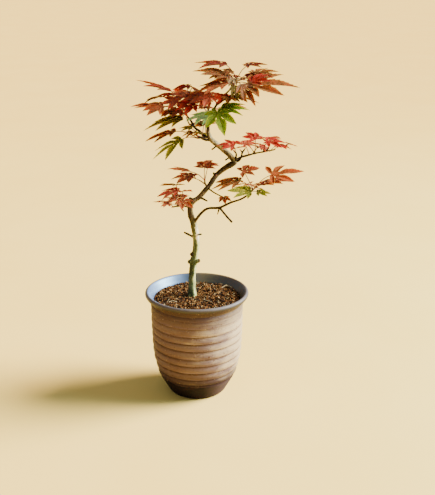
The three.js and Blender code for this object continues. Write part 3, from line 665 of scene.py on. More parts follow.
def make_pot():
    under = [(0.01, 0), (9, 0), (18, 0), (25.6, 0)]
    foot = outline_curve(FOOT_OUTLINE + BODY_OUTLINE[:1], 4)
    belly = outline_curve(FOOT_OUTLINE[-1:] + BODY_OUTLINE, 8)
    heights = np.arange(BODY_OUTLINE[0][0] + 0.6, BODY_OUTLINE[-1][0], ROW_GAP)
    body = np.stack([np.interp(heights, belly[:, 1], belly[:, 0]), heights], -1)
    rolled = [(POT_HEIGHT - below, RIM_RADIUS - inwards) for below, inwards in LIP_OUTLINE]
    lip = outline_curve(BODY_OUTLINE[-1:] + rolled, 4)
    inside = [(43.9, 100.5), (43.3, 98), (42.4, 60), (41, 40), (36.9, 24), (FLOOR_RADIUS, FLOOR_THICKNESS),
              (0.01, FLOOR_THICKNESS)]
    radius, height = np.concatenate([under, foot, body, lip, inside]).T
    foot_end = len(under) + len(foot) - 1
    lip_start = foot_end + 1 + len(body)
    row = np.arange(len(height))
    outside = np.interp(row, (len(under), foot_end, lip_start, lip_start + len(lip) - 1), (0, 1, 1, 0))
    around = np.stack(circle(POT_AROUND), -1)
    where = np.concatenate([
        np.broadcast_to(around * 40, (len(height), POT_AROUND, 2)),
        np.broadcast_to(height[:, None, None], (len(height), POT_AROUND, 1)),
    ], -1)

    # Hoops that wobble, lines left by the fingers, and unevenness of the hand
    sway = 0.2 * wander(where * (1, 1, 0.1), 40, 3) + 0.07 * wander(where, 12, 4)
    depth = np.interp(where[..., 2], (30, 78, 92), (1.4, 1.15, 0.5)) + 0.2 * wander(where, 22, 5)
    on_body = ((row >= foot_end - 1) & (row <= lip_start))[:, None]
    offset = np.where(on_body, ribs(height[:, None] + sway) * depth, 0)
    lines = 0.07 * wander(where * (0.05, 0.05, 1), 0.85, 6) + 0.08 * wander(where * (0.12, 0.12, 1), 2.4, 7)
    hand = 0.16 * wander(where * (1, 1, 0.5), 30, 8) + 0.035 * wander(where, 3.2, 9)
    reach = radius[:, None] + offset + outside[:, None] * (lines + hand)
    points = np.concatenate([around * reach[..., None], where[..., 2:]], -1)

    faces = grid(len(height), POT_AROUND, True)
    rows = faces.min(1) // POT_AROUND
    spot = where.reshape(-1, 3)[faces[:, 0]]
    level = height[rows]
    iron_edge = IRON_EDGE + 1.6 * wander(spot, 14, 11) + 0.6 * wander(spot, 4, 12)
    lip_edge = LIP_EDGE + 0.4 * wander(spot, 12, 13)
    dips = offset.reshape(-1)[faces].mean(1)
    rises = np.gradient(offset, axis=0).reshape(-1)[faces].mean(1)
    on_lip = rows >= lip_start
    # Painted shade: faces under the hoops, deep in the grooves and in their hollows take darker clay
    slots = np.select([
        rows > lip_start + CREST_ROW, on_lip & (level > lip_edge), ~on_lip & (level < iron_edge),
        (rises > UNDERSIDE_RISE) & (dips < UNDERSIDE_TOP), dips < -GROOVE_SHADE_DEPTH, dips < -HOLLOW_SHADE_DEPTH,
    ], [GLAZE, LIP, IRON, UNDERSIDE, GROOVE, HOLLOW], BODY)
    heap = Heap()
    heap.add(points.reshape(-1, 3), faces, slots)
    put(heap, "stoneware_pot", 0.02, pot_materials(), "stoneware", "pot")


def clay(name, *tones):
    """Thrown clay in three tones: painted light on its right, a dark flush by its foot, a flush with painted
    shade under its lip, dark and pale specks
    """
    surface = Surface(f"stoneware_{name}", Specular_IOR_Level=0.1)
    cloud = surface.noise(26, stretch=(1, 1, 0.45), detail=5.0)
    streaks = surface.noise(2.4, stretch=(9, 9, 0.55), detail=4.0)
    across, level = surface.along("X"), surface.along("Z")
    tone = surface.add(surface.even(cloud, 0.37, 0.63), surface.even(streaks, -0.05, 0.05))
    # Painted light: the tone grows lighter towards the right side, from which the key lamp shines
    tone = surface.add(tone, surface.spread(across, -0.03, 0.045, -0.12, 0.1))
    tone = surface.add(tone, surface.spread(across, 0.024, 0.042, 0.0, 0.14))
    base = surface.ramp(tone, *zip((0.32, 0.5, 0.68), tones))
    base = surface.over(base, surface.add(level, cloud, 0.008), 0.04, 0.025, 0.94, (44, 28, 31))
    # Darker under the lip up to the rim: partly a flush of the clay, partly painted shade of the lip's
    # overhang
    base = surface.over(base, surface.add(level, cloud, 0.012), 0.0875, 0.1075, 0.85, (46, 32, 35))
    base = surface.over(base, surface.noise(1.5, detail=2.0, roughness=0.4), 0.64, 0.72, 0.75, (74, 46, 30))
    base = surface.over(base, surface.noise(2.1, detail=2.0, roughness=0.4), 0.66, 0.74, 0.4, (170, 148, 120))
    grain = surface.noise(0.55, detail=5.0, roughness=0.7)
    rough = surface.spread(surface.add(cloud, grain, 0.4), 0.45, 0.95, 0.5, 0.74)
    return surface.finish(base, rough, surface.add(grain, streaks, 0.4), 0.16, 0.7)


def pot_materials():
    iron = Surface("iron_foot", Specular_IOR_Level=0.07, Specular_Tint=(0.7, 0.74, 1.0, 1.0))
    cloud = iron.noise(9, stretch=(1, 1, 0.5), detail=6.0)
    base = iron.ramp(cloud, (0.3, (13, 8, 12)), (0.55, (22, 14, 20)), (0.78, (42, 22, 24)))
    # Painted highlight: the foot grows paler on its right side, where the key lamp falls
    base = iron.over(base, iron.add(iron.along("X"), cloud, 0.012), 0.012, 0.03, 0.7, (76, 62, 72))
    grain = iron.noise(0.7, detail=5.0, roughness=0.7)
    iron.finish(base, iron.even(cloud, 0.5, 0.72), grain, 0.14, 0.7)

    glaze = Surface("slate_glaze", Specular_IOR_Level=1.0, Specular_Tint=(0.38, 0.76, 1.0, 1.0))
    cloud = glaze.noise(12, stretch=(1, 1, 0.6), detail=5.0)
    base = glaze.ramp(cloud, (0.25, (26, 27, 28)), (0.5, (36, 38, 42)), (0.78, (50, 53, 58)))
    across = glaze.along("X")
    # Painted reflection: the glaze turns pale blue on the left inside wall, which faces the lamps
    base = glaze.over(base, across, -0.006, -0.03, 0.75, (112, 134, 176))
    # Painted shade: olive and brown towards the right inside wall, which lies in shade
    base = glaze.over(base, across, -0.012, 0.006, 0.8, (106, 88, 52))
    base = glaze.over(base, across, 0.018, 0.036, 0.85, (88, 60, 14))
    specks = glaze.noise(1.1, detail=2.0)
    base = glaze.over(base, specks, 0.64, 0.74, 0.6, (84, 68, 50))
    ripple = glaze.add(glaze.noise(14, detail=1.0), specks, 0.05)
    glaze.finish(base, glaze.even(cloud, 0.32, 0.42), ripple, 0.1, 0.3)

    lip = Surface("bare_lip", Specular_IOR_Level=0.3)
    cloud = lip.noise(7, detail=5.0)
    # Painted shade and painted highlight: dark low on the lip, under its roll, and paler grey up to its crest
    level = lip.spread(lip.add(lip.along("Z"), cloud, 0.0012), 0.1035, 0.1088)
    stops = ((0.0, (45, 29, 23)), (0.45, (38, 32, 31)), (0.75, (66, 61, 62)), (1.0, (90, 83, 83)))
    base = lip.ramp(level, *stops)
    grain = lip.noise(0.8, detail=5.0, roughness=0.7)
    lip.finish(base, lip.even(cloud, 0.42, 0.6), grain, 0.12, 0.6)

    slots = {
        BODY: clay("body", (100, 77, 72), (113, 94, 89), (172, 152, 121)),
        HOLLOW: clay("hollow", (84, 63, 56), (104, 83, 75), (160, 139, 109)),
        GROOVE: clay("groove", (62, 44, 34), (80, 61, 48), (108, 89, 70)),
        UNDERSIDE: clay("underside", (88, 66, 64), (108, 90, 106), (164, 146, 130)),
        IRON: iron.material, GLAZE: glaze.material, LIP: lip.material,
    }
    return [slots[index] for index in sorted(slots)]


# Soil

# Granules: their seed, how many, and the shares of their sizes and of their tints
GRANULE_SEED = 23
GRANULES = 2100
GRANULE_SIZES = {0.7: 0.27, 0.95: 0.35, 1.2: 0.25, 1.5: 0.13}
# The ground under the granules is dark brown: painted shade in the gaps between them
GROUND_SHADE_TINT = (34, 20, 8)
GRANULE_TINTS = {
    (92, 57, 25): 0.3, (70, 42, 18): 0.27, (120, 82, 42): 0.2, (54, 31, 14): 0.14, (156, 124, 76): 0.09,
}

# How far granules stay off the pot and the trunk's middle, and how they sit on the crumbs, large ones lower
GRANULE_MARGIN = 0.6
TRUNK_CLEARANCE = 4.2
GRANULE_SEAT = (-0.55, 0.2)
GRANULE_BASE = 0.15
GRANULE_SINK = 0.4

# The ground under them: its margin to the pot, how far it lies under the crumbs, its swells and its depth
GROUND_MARGIN = 1.1
GROUND_SINK = 0.75
GROUND_SWELL = 0.4
GROUND_DEPTH = 5

# Bits of straw: how many, how far off the pot, their arch over the soil, their lengths, the radius at their
# ends, and how much they gain towards the middle
STRAWS = 210
STRAW_MARGIN = 1.5
STRAW_ARCH = 0.3
STRAW_LENGTH = (1.6, 5)
STRAW_TIP = 0.12
STRAW_GAIN = 0.16
STRAW_TINTS = dict(straw_tan=(110, 84, 50), straw_pale=(150, 132, 98))

# Fine roots that show: x, y and z down each, and their radii there
ROOTS = [
    [(25, 24, 102.1), (29, 28, 102.9), (31, 33, 102.7), (30, 37, 101.8)],
    [(29, 28, 102.8), (33, 27, 102.9), (37, 24, 102.0)],
    [(6, -7, 101.9), (9, -12, 102.8), (14, -15, 102.6), (17, -19, 101.8)],
    [(-20, -14, 101.8), (-24, -13, 102.6), (-29, -16, 101.9)],
]
ROOT_RADII = (0.5, 0.42, 0.34, 0.22)


def ball():
    body = bmesh.new()
    bmesh.ops.create_icosphere(body, subdivisions=1, radius=1)
    points = np.array([v.co[:] for v in body.verts])
    faces = np.array([[v.index for v in f.verts] for f in body.faces])
    body.free()
    return points, faces


def turned(rng):
    """A turn about a random axis"""
    matrix, _ = np.linalg.qr(rng.normal(size=(3, 3)))
    return matrix * np.sign(np.linalg.det(matrix))


def chip(points, rng, flats=7):
    """A crumb of baked clay: a ball cut by flats, stretched and turned"""
    shape = points.copy()
    for _ in range(flats):
        normal = unit(rng.normal(size=3))
        depth = rng.uniform(0.62, 0.9)
        over = shape @ normal
        shape -= np.clip(over - depth, 0, None)[:, None] * normal
    return (shape * rng.uniform((0.9, 0.55, 0.5), (1.5, 1.0, 0.8))) @ turned(rng)


def crumb_field():
    """The crumbs of the soil's top: rings of points drawn above or below its level"""
    draws = seeded(SOIL_SEED)
    crumbs = [(SOIL_RADIUS * x, SOIL_RADIUS * y, SOIL_TOP) for x, y in zip(*circle(SOIL_SIDES))]
    radius = SOIL_RADIUS - CRUMB
    while radius > CRUMB / 2:
        count = round(2 * math.pi * radius / CRUMB)
        for place in zip(*circle(count)):
            aside, off, lift = (2 * next(draws) - 1 for _ in range(3))
            x, y = (radius * p + stray * CRUMB_STRAY * CRUMB for p, stray in zip(place, (aside, off)))
            level = math.hypot(x - TRUNK[0][0], y - TRUNK[0][1]) < LEVEL_REACH
            crumbs.append((x, y, SOIL_TOP + (0 if level else lift * CRUMB_RELIEF)))
        radius -= CRUMB
    return np.array([*crumbs, (0, 0, SOIL_TOP)])


def soil_level(x, y, crumbs):
    """The height of the soil between its nearest crumbs"""
    gaps = np.linalg.norm(np.stack([x, y], -1)[..., None, :] - crumbs[:, :2], axis=-1)
    weights = bump(gaps, 0.42 * CRUMB) + 1e-9
    return (weights * crumbs[:, 2]).sum(-1) / weights.sum(-1)


def granule_material(name, colour):
    stops = ((0.32, shifted(colour, 0.62)), (0.5, colour), (0.7, shifted(colour, 1.28)))
    return grained(name, dict(Specular_IOR_Level=0.1), dict(size=1.8, detail=4.0), stops,
                   dict(size=0.35, detail=4.0, roughness=0.7), (0.82, 0.96), 0.12, 0.8)


def make_soil():
    rng = np.random.default_rng(GRANULE_SEED)
    crumbs = crumb_field()
    ground = Heap()
    rings, around = 44, 150
    radii = np.linspace(0.01, SOIL_RADIUS - GROUND_MARGIN, rings)
    x, y = (radii[:, None] * values for values in circle(around))
    spots = np.stack([x, y, np.zeros_like(x)], -1)
    level = soil_level(x, y, crumbs) - GROUND_SINK + GROUND_SWELL * wander(spots, 2.2, 24)
    top = np.stack([x, y, level], -1)
    low = top[-1:].copy()
    low[..., 2] = SOIL_TOP - GROUND_DEPTH
    rows = np.concatenate([top, low, low * (0.001, 0.001, 1)])
    ground.add(rows.reshape(-1, 3), grid(rings + 2, around, True)[:, ::-1])
    sphere, faces = ball()
    sizes, size_shares = zip(*GRANULE_SIZES.items())
    placed = 0
    while placed < GRANULES:
        x, y = rng.uniform(-SOIL_RADIUS, SOIL_RADIUS, 2)
        size = rng.choice(sizes, p=size_shares)
        off_trunk = math.hypot(x - TRUNK[0][0], y - TRUNK[0][1])
        if math.hypot(x, y) + size > SOIL_RADIUS - GRANULE_MARGIN or off_trunk < TRUNK_CLEARANCE:
            continue
        level = soil_level(x, y, crumbs) + rng.uniform(*GRANULE_SEAT) + (GRANULE_BASE - GRANULE_SINK * size)
        shape = chip(sphere, rng) * size + (x, y, level)
        ground.add(shape, faces, 1 + rng.choice(len(GRANULE_TINTS), p=list(GRANULE_TINTS.values())))
        placed += 1
    tints = (GROUND_SHADE_TINT, *GRANULE_TINTS)
    materials = [granule_material(f"granule_{i}", tint) for i, tint in enumerate(tints)]
    put(ground, "soil_granules", 0.003, materials, "soil", "soil", sharp=38)

    straws = Heap()
    for _ in range(STRAWS):
        angle, reach = rng.uniform(0, 2 * np.pi), SOIL_RADIUS * math.sqrt(rng.uniform(0.01, 0.86))
        heading, length, bend = rng.uniform(0, 2 * np.pi), rng.uniform(*STRAW_LENGTH), rng.uniform(-0.5, 0.5)
        line = []
        for share in np.linspace(-0.5, 0.5, 6):
            away = heading + bend * share
            x = reach * math.cos(angle) + length * share * math.cos(away)
            y = reach * math.sin(angle) + length * share * math.sin(away)
            level = soil_level(x, y, crumbs) + STRAW_ARCH * (1 + math.cos(3 * share))
            line.append((x, y, level, STRAW_TIP + STRAW_GAIN * (0.5 - abs(share))))
        if max(math.hypot(x, y) for x, y, _, _ in line) <= SOIL_RADIUS - STRAW_MARGIN:
            straws.add(*tube(line, 5), rng.integers(0, 2))
    for root in ROOTS:
        straws.add(*tube(thick_line(root, ROOT_RADII, 6), 7), 1)
    materials = [granule_material(name, tint) for name, tint in STRAW_TINTS.items()]
    put(straws, "straw_bits", 0.002, materials, "soil")


# Trunk and boughs

# The trunk's foot, under the granules, and the radius up to which a limb is thin
TRUNK_ROOT = (-5, 5, 100.4, 5.2)
THIN_LIMB = 2

# The bark's slots, the length of trunk past which it may be young, and about the radius below which it is
GREY, SHADED_SIDE, YOUNG, PALE = range(4)
YOUNG_FROM = 175
YOUNG_RADIUS = 1.75

# How far the bark's forms stand off the wood, how far apart nodes and rings are, and how high the flare goes
FISSURE_DEPTH = 0.16
SWELL = 0.3
FINE_SWELL = 0.08
COLLAR_SWELL = 0.8
NODE_EVERY = 11.5
NODE_AT = 5.7
RING_EVERY = 2.3
RING_SWELL = 0.04
FLARE = 0.4
FLARE_FROM = 101
FLARE_HEIGHT = 9


def one_skin(heap):
    """The heap's shapes as one skin: its points, their normals and its triangles"""
    rough = shown("wood_rough", heap.mesh("wood_rough", 1.0))
    voxels = rough.modifiers.new("voxels", "REMESH")
    voxels.mode, voxels.voxel_size = "VOXEL", 0.3
    evened = rough.modifiers.new("evened", "SMOOTH")
    evened.factor, evened.iterations = 0.5, 3
    bpy.context.view_layer.update()
    shape = rough.evaluated_get(bpy.context.evaluated_depsgraph_get()).to_mesh()
    shape.calc_loop_triangles()
    found = []
    for values, field, kind in (
        (shape.vertices, "co", float), (shape.vertex_normals, "vector", float),
        (shape.loop_triangles, "vertices", np.int32),
    ):
        numbers = np.empty(len(values) * 3, kind)
        values.foreach_get(field, numbers)
        found.append(numbers.reshape(-1, 3))
    bpy.data.objects.remove(rough)
    return found


def on_limbs(points, lines):
    """Each point's nearest limb, that limb's radius, and how far along and which way round the point lies"""
    along, bases = [], []
    for line in lines:
        steps = np.linalg.norm(np.diff(line[:, :3], axis=0), axis=1)
        along.append(np.concatenate([[0], np.cumsum(steps)]))
        bases.append(np.stack(frames(line)[:2], 1))
    samples, along, bases = np.concatenate(lines), np.concatenate(along), np.concatenate(bases)
    owner = np.repeat(np.arange(len(lines)), [len(line) for line in lines])
    tree = kdtree.KDTree(len(samples))
    for index, sample in enumerate(samples):
        tree.insert(Vector(sample[:3]), index)
    tree.balance()
    nearest = np.array([tree.find(Vector(point))[1] for point in points])
    flat = np.einsum("nij,nj->ni", bases[nearest], points - samples[nearest, :3])
    return owner[nearest], samples[nearest, 3], along[nearest], np.arctan2(flat[:, 1], flat[:, 0])


def bark_relief(points, radius, reach, angle, on_trunk):
    """How far bark stands off the wood: fissures, swells, collars round stubs, nodes, rings and root flare"""
    thickness = np.clip(radius / 3, 0.15, 1)
    bark = np.stack([np.cos(angle) * radius * 1.6, np.sin(angle) * radius * 1.6, reach / 7], -1)
    fissures = np.clip(np.abs(wander(bark, 0.95, 31)) * -3.2 + 0.75, 0, 1)
    relief = -FISSURE_DEPTH * fissures * np.clip(thickness, 0.25, 1)
    relief += SWELL * wander(points, 5.5, 32) * thickness
    relief += FINE_SWELL * wander(points, 1.5, 33)
    for start, end, thick, _ in SPURS:
        if thick > CUT_STUB:
            collar = start + unit(np.subtract(end, start)) * COLLAR_REACH
            relief += COLLAR_SWELL * bump(np.linalg.norm(points - collar, axis=1), 3)
    nodes = np.abs((reach + 2.2 * wander(points * (0, 0, 1), 21, 34)) % NODE_EVERY - NODE_AT)
    relief += bump(nodes, 0.55) * np.clip(0.09 * radius, 0.08, 0.24)
    rings = np.abs(reach % RING_EVERY - RING_EVERY / 2) + 0.3 * wander(points, 2, 35)
    relief += bump(rings, 0.2) * RING_SWELL
    flare = np.clip(1 - (points[:, 2] - FLARE_FROM) / FLARE_HEIGHT, 0, 1)
    return relief + FLARE * flare * np.cos(5 * angle + 0.6) * on_trunk


def make_wood():
    lines = [smooth_line([TRUNK_ROOT, *TRUNK], 8)]
    for start, end, thick, thin in SPURS:
        lines.append(thick_line((start, end), (thick + SPUR_BARK, thin + SPUR_BARK), 6))
    lines += [smooth_line(points, 8) + (0, 0, 0, BOUGH_BARK) for points in BOUGHS.values()]
    heap = Heap()
    for line in lines:
        heap.add(*tube(line, 24 if line[0, 3] > THIN_LIMB else 14))
    points, normals, faces = one_skin(heap)
    owner, radius, reach, angle = on_limbs(points, lines)
    on_trunk = owner == 0
    points = points + normals * bark_relief(points, radius, reach, angle, on_trunk)[:, None]

    middles, radii = lines[0][:, :3], lines[0][:, 3]
    off = np.concatenate([
        (np.linalg.norm(part[:, None] - middles[None], axis=2) - radii).min(1)
        for part in np.array_split(points, 60)
    ])
    may_be_young = np.where(on_trunk, reach > YOUNG_FROM, off > LIMB_SHOWS)
    young = may_be_young & (radius < YOUNG_RADIUS + 0.35 * wander(points, 4, 36))
    # Painted shade and light: bark that faces left takes the dark slot and bark that faces right the pale one
    shade = -0.9 * normals[:, 0] + 0.36 * wander(points * (1, 1, 0.45), 6, 37) + 0.26 * wander(points, 2, 38)
    painted_shade_from = np.interp(points[:, 2], *zip(*SHADE_PAINTED_BARK))
    painted_light_from = np.interp(points[:, 2], *zip(*LIGHT_PAINTED_BARK))
    slots = np.select([young, shade > painted_shade_from, shade < painted_light_from], [YOUNG, SHADED_SIDE, PALE], GREY)
    heap = Heap()
    heap.add(points, faces, np.sort(slots[faces], axis=1)[:, 1])
    put(heap, "bark_of_trunk_and_boughs", 0.002, wood_materials(), "bark",
        "trunk_foot", "trunk_middle", "trunk_top", "trunk_leader", *BOUGHS)


def bark_material(name, tones, depth, upper_tones=None, painted_highlight=None):
    """Bark in three tones, with others above the trunk's first bend and, if given, a painted highlight in
    white along a length under it
    """
    surface = Surface(name, Specular_IOR_Level=0.1)
    patches = surface.noise(7, stretch=(1, 1, 2.2), detail=6.0)
    streaks = surface.noise(1.1, stretch=(1, 1, 6), detail=4.0)
    tone = surface.add(patches, surface.even(streaks, -0.16, 0.16))
    base = surface.ramp(tone, *zip((0.34, 0.5, 0.66), tones))
    if upper_tones:
        high = surface.spread(surface.add(surface.along("Z"), patches, 0.02), 0.182, 0.194)
        base = surface.mix(high, base, surface.ramp(tone, *zip((0.34, 0.5, 0.66), upper_tones)))
    # Painted highlight: the lit side goes white along a length under the first bend
    if painted_highlight:
        level = surface.add(surface.along("Z"), patches, 0.006)
        white = surface.over(base, level, 0.183, 0.176, 1.0, painted_highlight)
        base = surface.mix(surface.spread(level, 0.162, 0.168), base, white)
    pores = surface.cells(1.5, stretch=(1.6, 1.6, 0.6))
    base = surface.over(base, pores, 0.26, 0.1, 0.55, shifted(tones[2], 1.15))
    grain = surface.noise(0.4, detail=4.0, roughness=0.65)
    height = surface.add(surface.add(streaks, grain, 0.5), pores, -0.4)
    return surface.finish(base, surface.even(grain, 0.68, 0.88), height, depth, 0.8)


def wood_materials():
    return [
        bark_material("bark_grey", [(58, 64, 36), (90, 99, 60), (122, 132, 88)], 0.22,
                      [(52, 42, 30), (80, 66, 49), (118, 101, 78)]),
        # Painted shade for the bark's left side
        bark_material("bark_shaded_side", [(46, 44, 22), (72, 70, 38), (100, 99, 60)], 0.22,
                      [(32, 25, 16), (50, 40, 28), (76, 62, 46)]),
        twig_material("bark_young"),
        # Painted light for the bark's right side, with a band of painted highlight
        bark_material("bark_lit_side", [(122, 126, 72), (166, 166, 100), (208, 203, 134)], 0.2,
                      [(96, 86, 58), (134, 120, 86), (172, 156, 118)], (228, 214, 180)),
    ]


def twig_material(name):
    return bark_material(name, [(26, 17, 8), (42, 29, 15), (72, 54, 32)], 0.14)


# Leaves

# A lobe: where the points of a row lie across it, which strips between them are its rib, how wide it is down
# its length, its rows before it parts from the others, its thickness, what the rib adds, and how far it sinks
ACROSS = np.array([-1, -0.7, -0.38, -0.05, 0, 0.05, 0.38, 0.7, 1])
RIB_STRIPS = (3, 4)
PROFILE = [(0, 0.95), (0.3, 1), (0.45, 0.98), (0.6, 0.82), (0.75, 0.52), (0.87, 0.26), (0.95, 0.09), (1, 0)]
INNER_ROWS = 5
BLADE_BODY = 0.2
RIB_BODY = 0.16
RIB_SINK = 0.018

# Each tooth has three rows: how far out its edge stands, how far it leans ahead, and how the blade quilts
TOOTH = 0.13
TOOTH_OUT = np.array([0, 0.5, 1])
TOOTH_AHEAD = np.array([0.0, 0.25, 0.9])
QUILT = 0.06 * np.array([1, 0.7, 0])
EDGE_WANDER = 0.08

# The most that a lobe bends aside, twists and curls up
LOBE_BEND = (0.06, 0.42, 0.05)

# A leaf's stalk: its radii at its start, its middle, under the blade and at its end, and how its end sinks
STALK_RADII = (0.5, 0.36, 0.42)
STALK_END = 0.2
STALK_SINK = (0.1, 0.2, 0.25)

# Places down a leaf, as shares of its span, that have to be clear of the wood
CLEAR_AT = (-0.2, 0.3, 0.65, 1)

# The shares of grown leaves and of finer ones that have five lobes and not seven
FIVE_LOBED = 0.5
FINER_FIVE_LOBED = 0.7

# Radii of a finer shoot, and of a bud down its length
FINER_RADII = (0.34, 0.27, 0.22)
BUD = ((0, 0.3), (0.4, 0.55), (1.0, 0.62), (1.7, 0.4), (2.3, 0.1))

# How much a stem swells where a leaf leaves it, and over what share of its length
NODE_SWELL = 0.22
NODE_SHARE = 0.05


def leaf_axes(turn, dip, roll):
    t, d, r = np.radians([turn, dip, roll])
    forward = np.array([math.cos(t) * math.cos(d), math.sin(t) * math.cos(d), -math.sin(d)])
    level = np.array([-math.sin(t), math.cos(t), 0])
    side = level * math.cos(r) + np.cross(forward, level) * math.sin(r)
    return forward, side, np.cross(forward, side)


def draw_lobes(span, fan, lobes, draws):
    """The angle, length and droop of each lobe"""
    skip = (len(LOBE_ANGLES) - lobes) // 2
    kept = slice(skip, len(LOBE_ANGLES) - skip)
    drawn = []
    for angle, share in zip(LOBE_ANGLES[kept], LOBE_SHARES[kept]):
        turn = angle * fan + (next(draws) - 0.5) * LOBE_WANDER
        length = span * share * between(LENGTH_SHARE, draws)
        drawn.append((turn, length, DROOP * between(DROOP_SHARE, draws)))
    return drawn


def lobe_rows(lobe, sinuses, span, broad, free, teeth, rng):
    """One lobe as rows of points across it: along and aside of its rib, their lift, droop and thickness"""
    angle, length, droop = lobe
    w = np.abs(ACROSS)
    leftward = ACROSS > 0
    corners = []
    for turn, reach in sinuses:
        delta = math.radians(turn - angle)
        corners.append((reach * math.cos(delta), abs(reach * math.sin(delta))))
    start = 0.66 * min(reach for _, reach in sinuses)
    edge_along, edge_aside = (np.where(leftward, left, right) for right, left in zip(*corners))

    # From the stalk to where the lobe parts from its neighbours: q is how far up that, and w how far out
    q = np.linspace(0, 1, INNER_ROWS)[:, None]
    at_edge = np.where(leftward, free[1], free[0])
    inner = dict(
        along=q * ((1 - w) * start + w * edge_along),
        aside=q * np.where(leftward, w, -w) * edge_aside,
        lift=-RIB_SINK * span * (1 - w) * q,
        droop=(1 - w) * droop + w * DROOP + 0 * q,
        body=BLADE_BODY * (1 - np.where(at_edge, w, w * q) ** 3),
    )

    # From there to its tip: v is how far up that
    count = teeth * 3
    k = np.arange(1, count + 1)[:, None]
    v = k / count
    step = (length - start) / count
    phase = (k - 1) % 3
    ahead = TOOTH_AHEAD[phase] * step * (v < 0.97)
    full = LOBE_WIDTH * length * broad * np.interp(v, *zip(*PROFILE))
    uneven = 1
    for one_side in (ACROSS > 0, ACROSS < 0):
        uneven = uneven + EDGE_WANDER * rng.uniform(-1, 1, (count, 1)) * one_side
    width = edge_aside + (full - edge_aside) * ease(v / 0.3)
    width = width * (1 + TOOTH * (TOOTH_OUT[phase] - 0.4)) * uneven * (v < 1)
    rib_at = start + (length - start) * v
    edge_at = edge_along + (length - edge_along) * v + ahead
    lift = FOLD * width * w**1.2 * ease(v / 0.25) - RIB_SINK * span * (1 - w) * (1 - v) ** 2
    lift = lift + QUILT[phase] * width * 4 * w * (1 - w) * (w > 0.1)
    aside = width * np.where(leftward, w, -w)
    bend, twist, curl = rng.uniform(-1, 1, 3) * LOBE_BEND
    spin = twist * v**1.5
    aside, lift = aside * np.cos(spin) - lift * np.sin(spin), lift * np.cos(spin) + aside * np.sin(spin)
    outer = dict(
        along=rib_at + (edge_at - rib_at) * w,
        aside=aside + bend * length * v**2,
        lift=lift + curl * length * v**2.2,
        droop=droop + (DROOP - droop) * w * (1 - v),
        body=BLADE_BODY * (1 - w**3) * (1 - 0.5 * v) + RIB_BODY * (w < 0.01) * (1 - v) * (v < 1),
    )
    return {key: np.concatenate([inner[key], outer[key]]) for key in inner}


def add_blade(heap, leaf, seed, teeth):
    """A thin toothed blade, folded along its ribs, whose lobes droop towards their tips"""
    _, foot, turns, span, fan, count, tint = leaf
    upper_slot = 3 * list(TINTS).index(tint)
    broad = min(1, fan) * BREADTH.get(tint, 1)
    forward, side, normal = leaf_axes(*turns)
    lobes = draw_lobes(span, fan, count, seeded(seed))
    rng = np.random.default_rng(seed)
    sinuses = [(lobes[0][0] - LAST_SINUS_TURN, LAST_SINUS * span)]
    for (a, length_a, _), (b, length_b, _) in zip(lobes, lobes[1:]):
        sinuses.append(((a + b) / 2, SINUS * min(length_a, length_b)))
    sinuses.append((lobes[-1][0] + LAST_SINUS_TURN, LAST_SINUS * span))
    for index, lobe in enumerate(lobes):
        free = (index == 0, index == len(lobes) - 1)
        rows = lobe_rows(lobe, sinuses[index:index + 2], span, broad, free, teeth, rng)
        turn = math.radians(lobe[0])
        x = rows["along"] * math.cos(turn) - rows["aside"] * math.sin(turn)
        y = rows["along"] * math.sin(turn) + rows["aside"] * math.cos(turn)
        upper = np.array(foot) + x[..., None] * forward + y[..., None] * side
        upper += rows["lift"][..., None] * normal
        upper[..., 2] -= rows["droop"] * span * (x * x + y * y) / span**2
        lower = upper - rows["body"][..., None] * normal
        faces = grid(*x.shape)
        strip = np.tile(np.repeat(np.arange(len(ACROSS) - 1), 2), len(x) - 1)
        rib = np.isin(strip, RIB_STRIPS)
        heap.add(upper.reshape(-1, 3), faces[:, ::-1], upper_slot + np.where(rib, 2, 0))
        heap.add(lower.reshape(-1, 3), faces, upper_slot + np.where(rib, 2, 1))


def stalk_line(leaf, start):
    foot = np.array(leaf[1])
    root = foot + leaf_axes(*leaf[2])[0] * PETIOLE_ROOT
    bow = (start + foot) / 2
    bow[2] += PETIOLE_BOW * np.linalg.norm(start - foot)
    line = thick_line((start, bow, root), STALK_RADII, 6)
    line[-1, 3] = STALK_END
    line[-len(STALK_SINK):, 2] -= STALK_SINK
    return line


def add_leaf(blades, petioles, leaf, start, draws, teeth=9, sides=8):
    """A blade and its stalk"""
    add_blade(blades, leaf, 1 + int(next(draws) * 1e6), teeth)
    petioles.add(*tube(stalk_line(leaf, start), sides))


def add_twig(twigs, line, sides, bud_sides, back):
    """A twig, and a pointed bud that goes on from its last points"""
    twigs.add(*tube(line, sides))
    tip = line[-1, :3]
    heading = unit(tip - line[-1 - back, :3])
    twigs.add(*tube([(*(tip + heading * reach), radius) for reach, radius in BUD], bud_sides), 1)


def grow_leaf(mass, draws):
    """A grown leaf stands off its stem on the side that the mass favours, and points away from it"""
    leaf = draw_each(GROWN, draws)
    away = mass["towards"] + leaf["swing"]
    foot = on_curve(mass["stem"], leaf["along"])[:3] + bearing(away) * leaf["reach"] + (0, 0, leaf["rise"])
    turns = (away + leaf["aside"], leaf["dip"], leaf["roll"])
    return leaf["along"], tuple(foot), turns, leaf["span"], leaf["fan"], 5 if next(draws) < FIVE_LOBED else 7


def clear_of_wood(places, wood):
    gaps = np.linalg.norm(np.asarray(places)[:, None] - wood[None, :, :3], axis=2) - wood[:, 3]
    return gaps.min() > WOOD_CLEARANCE


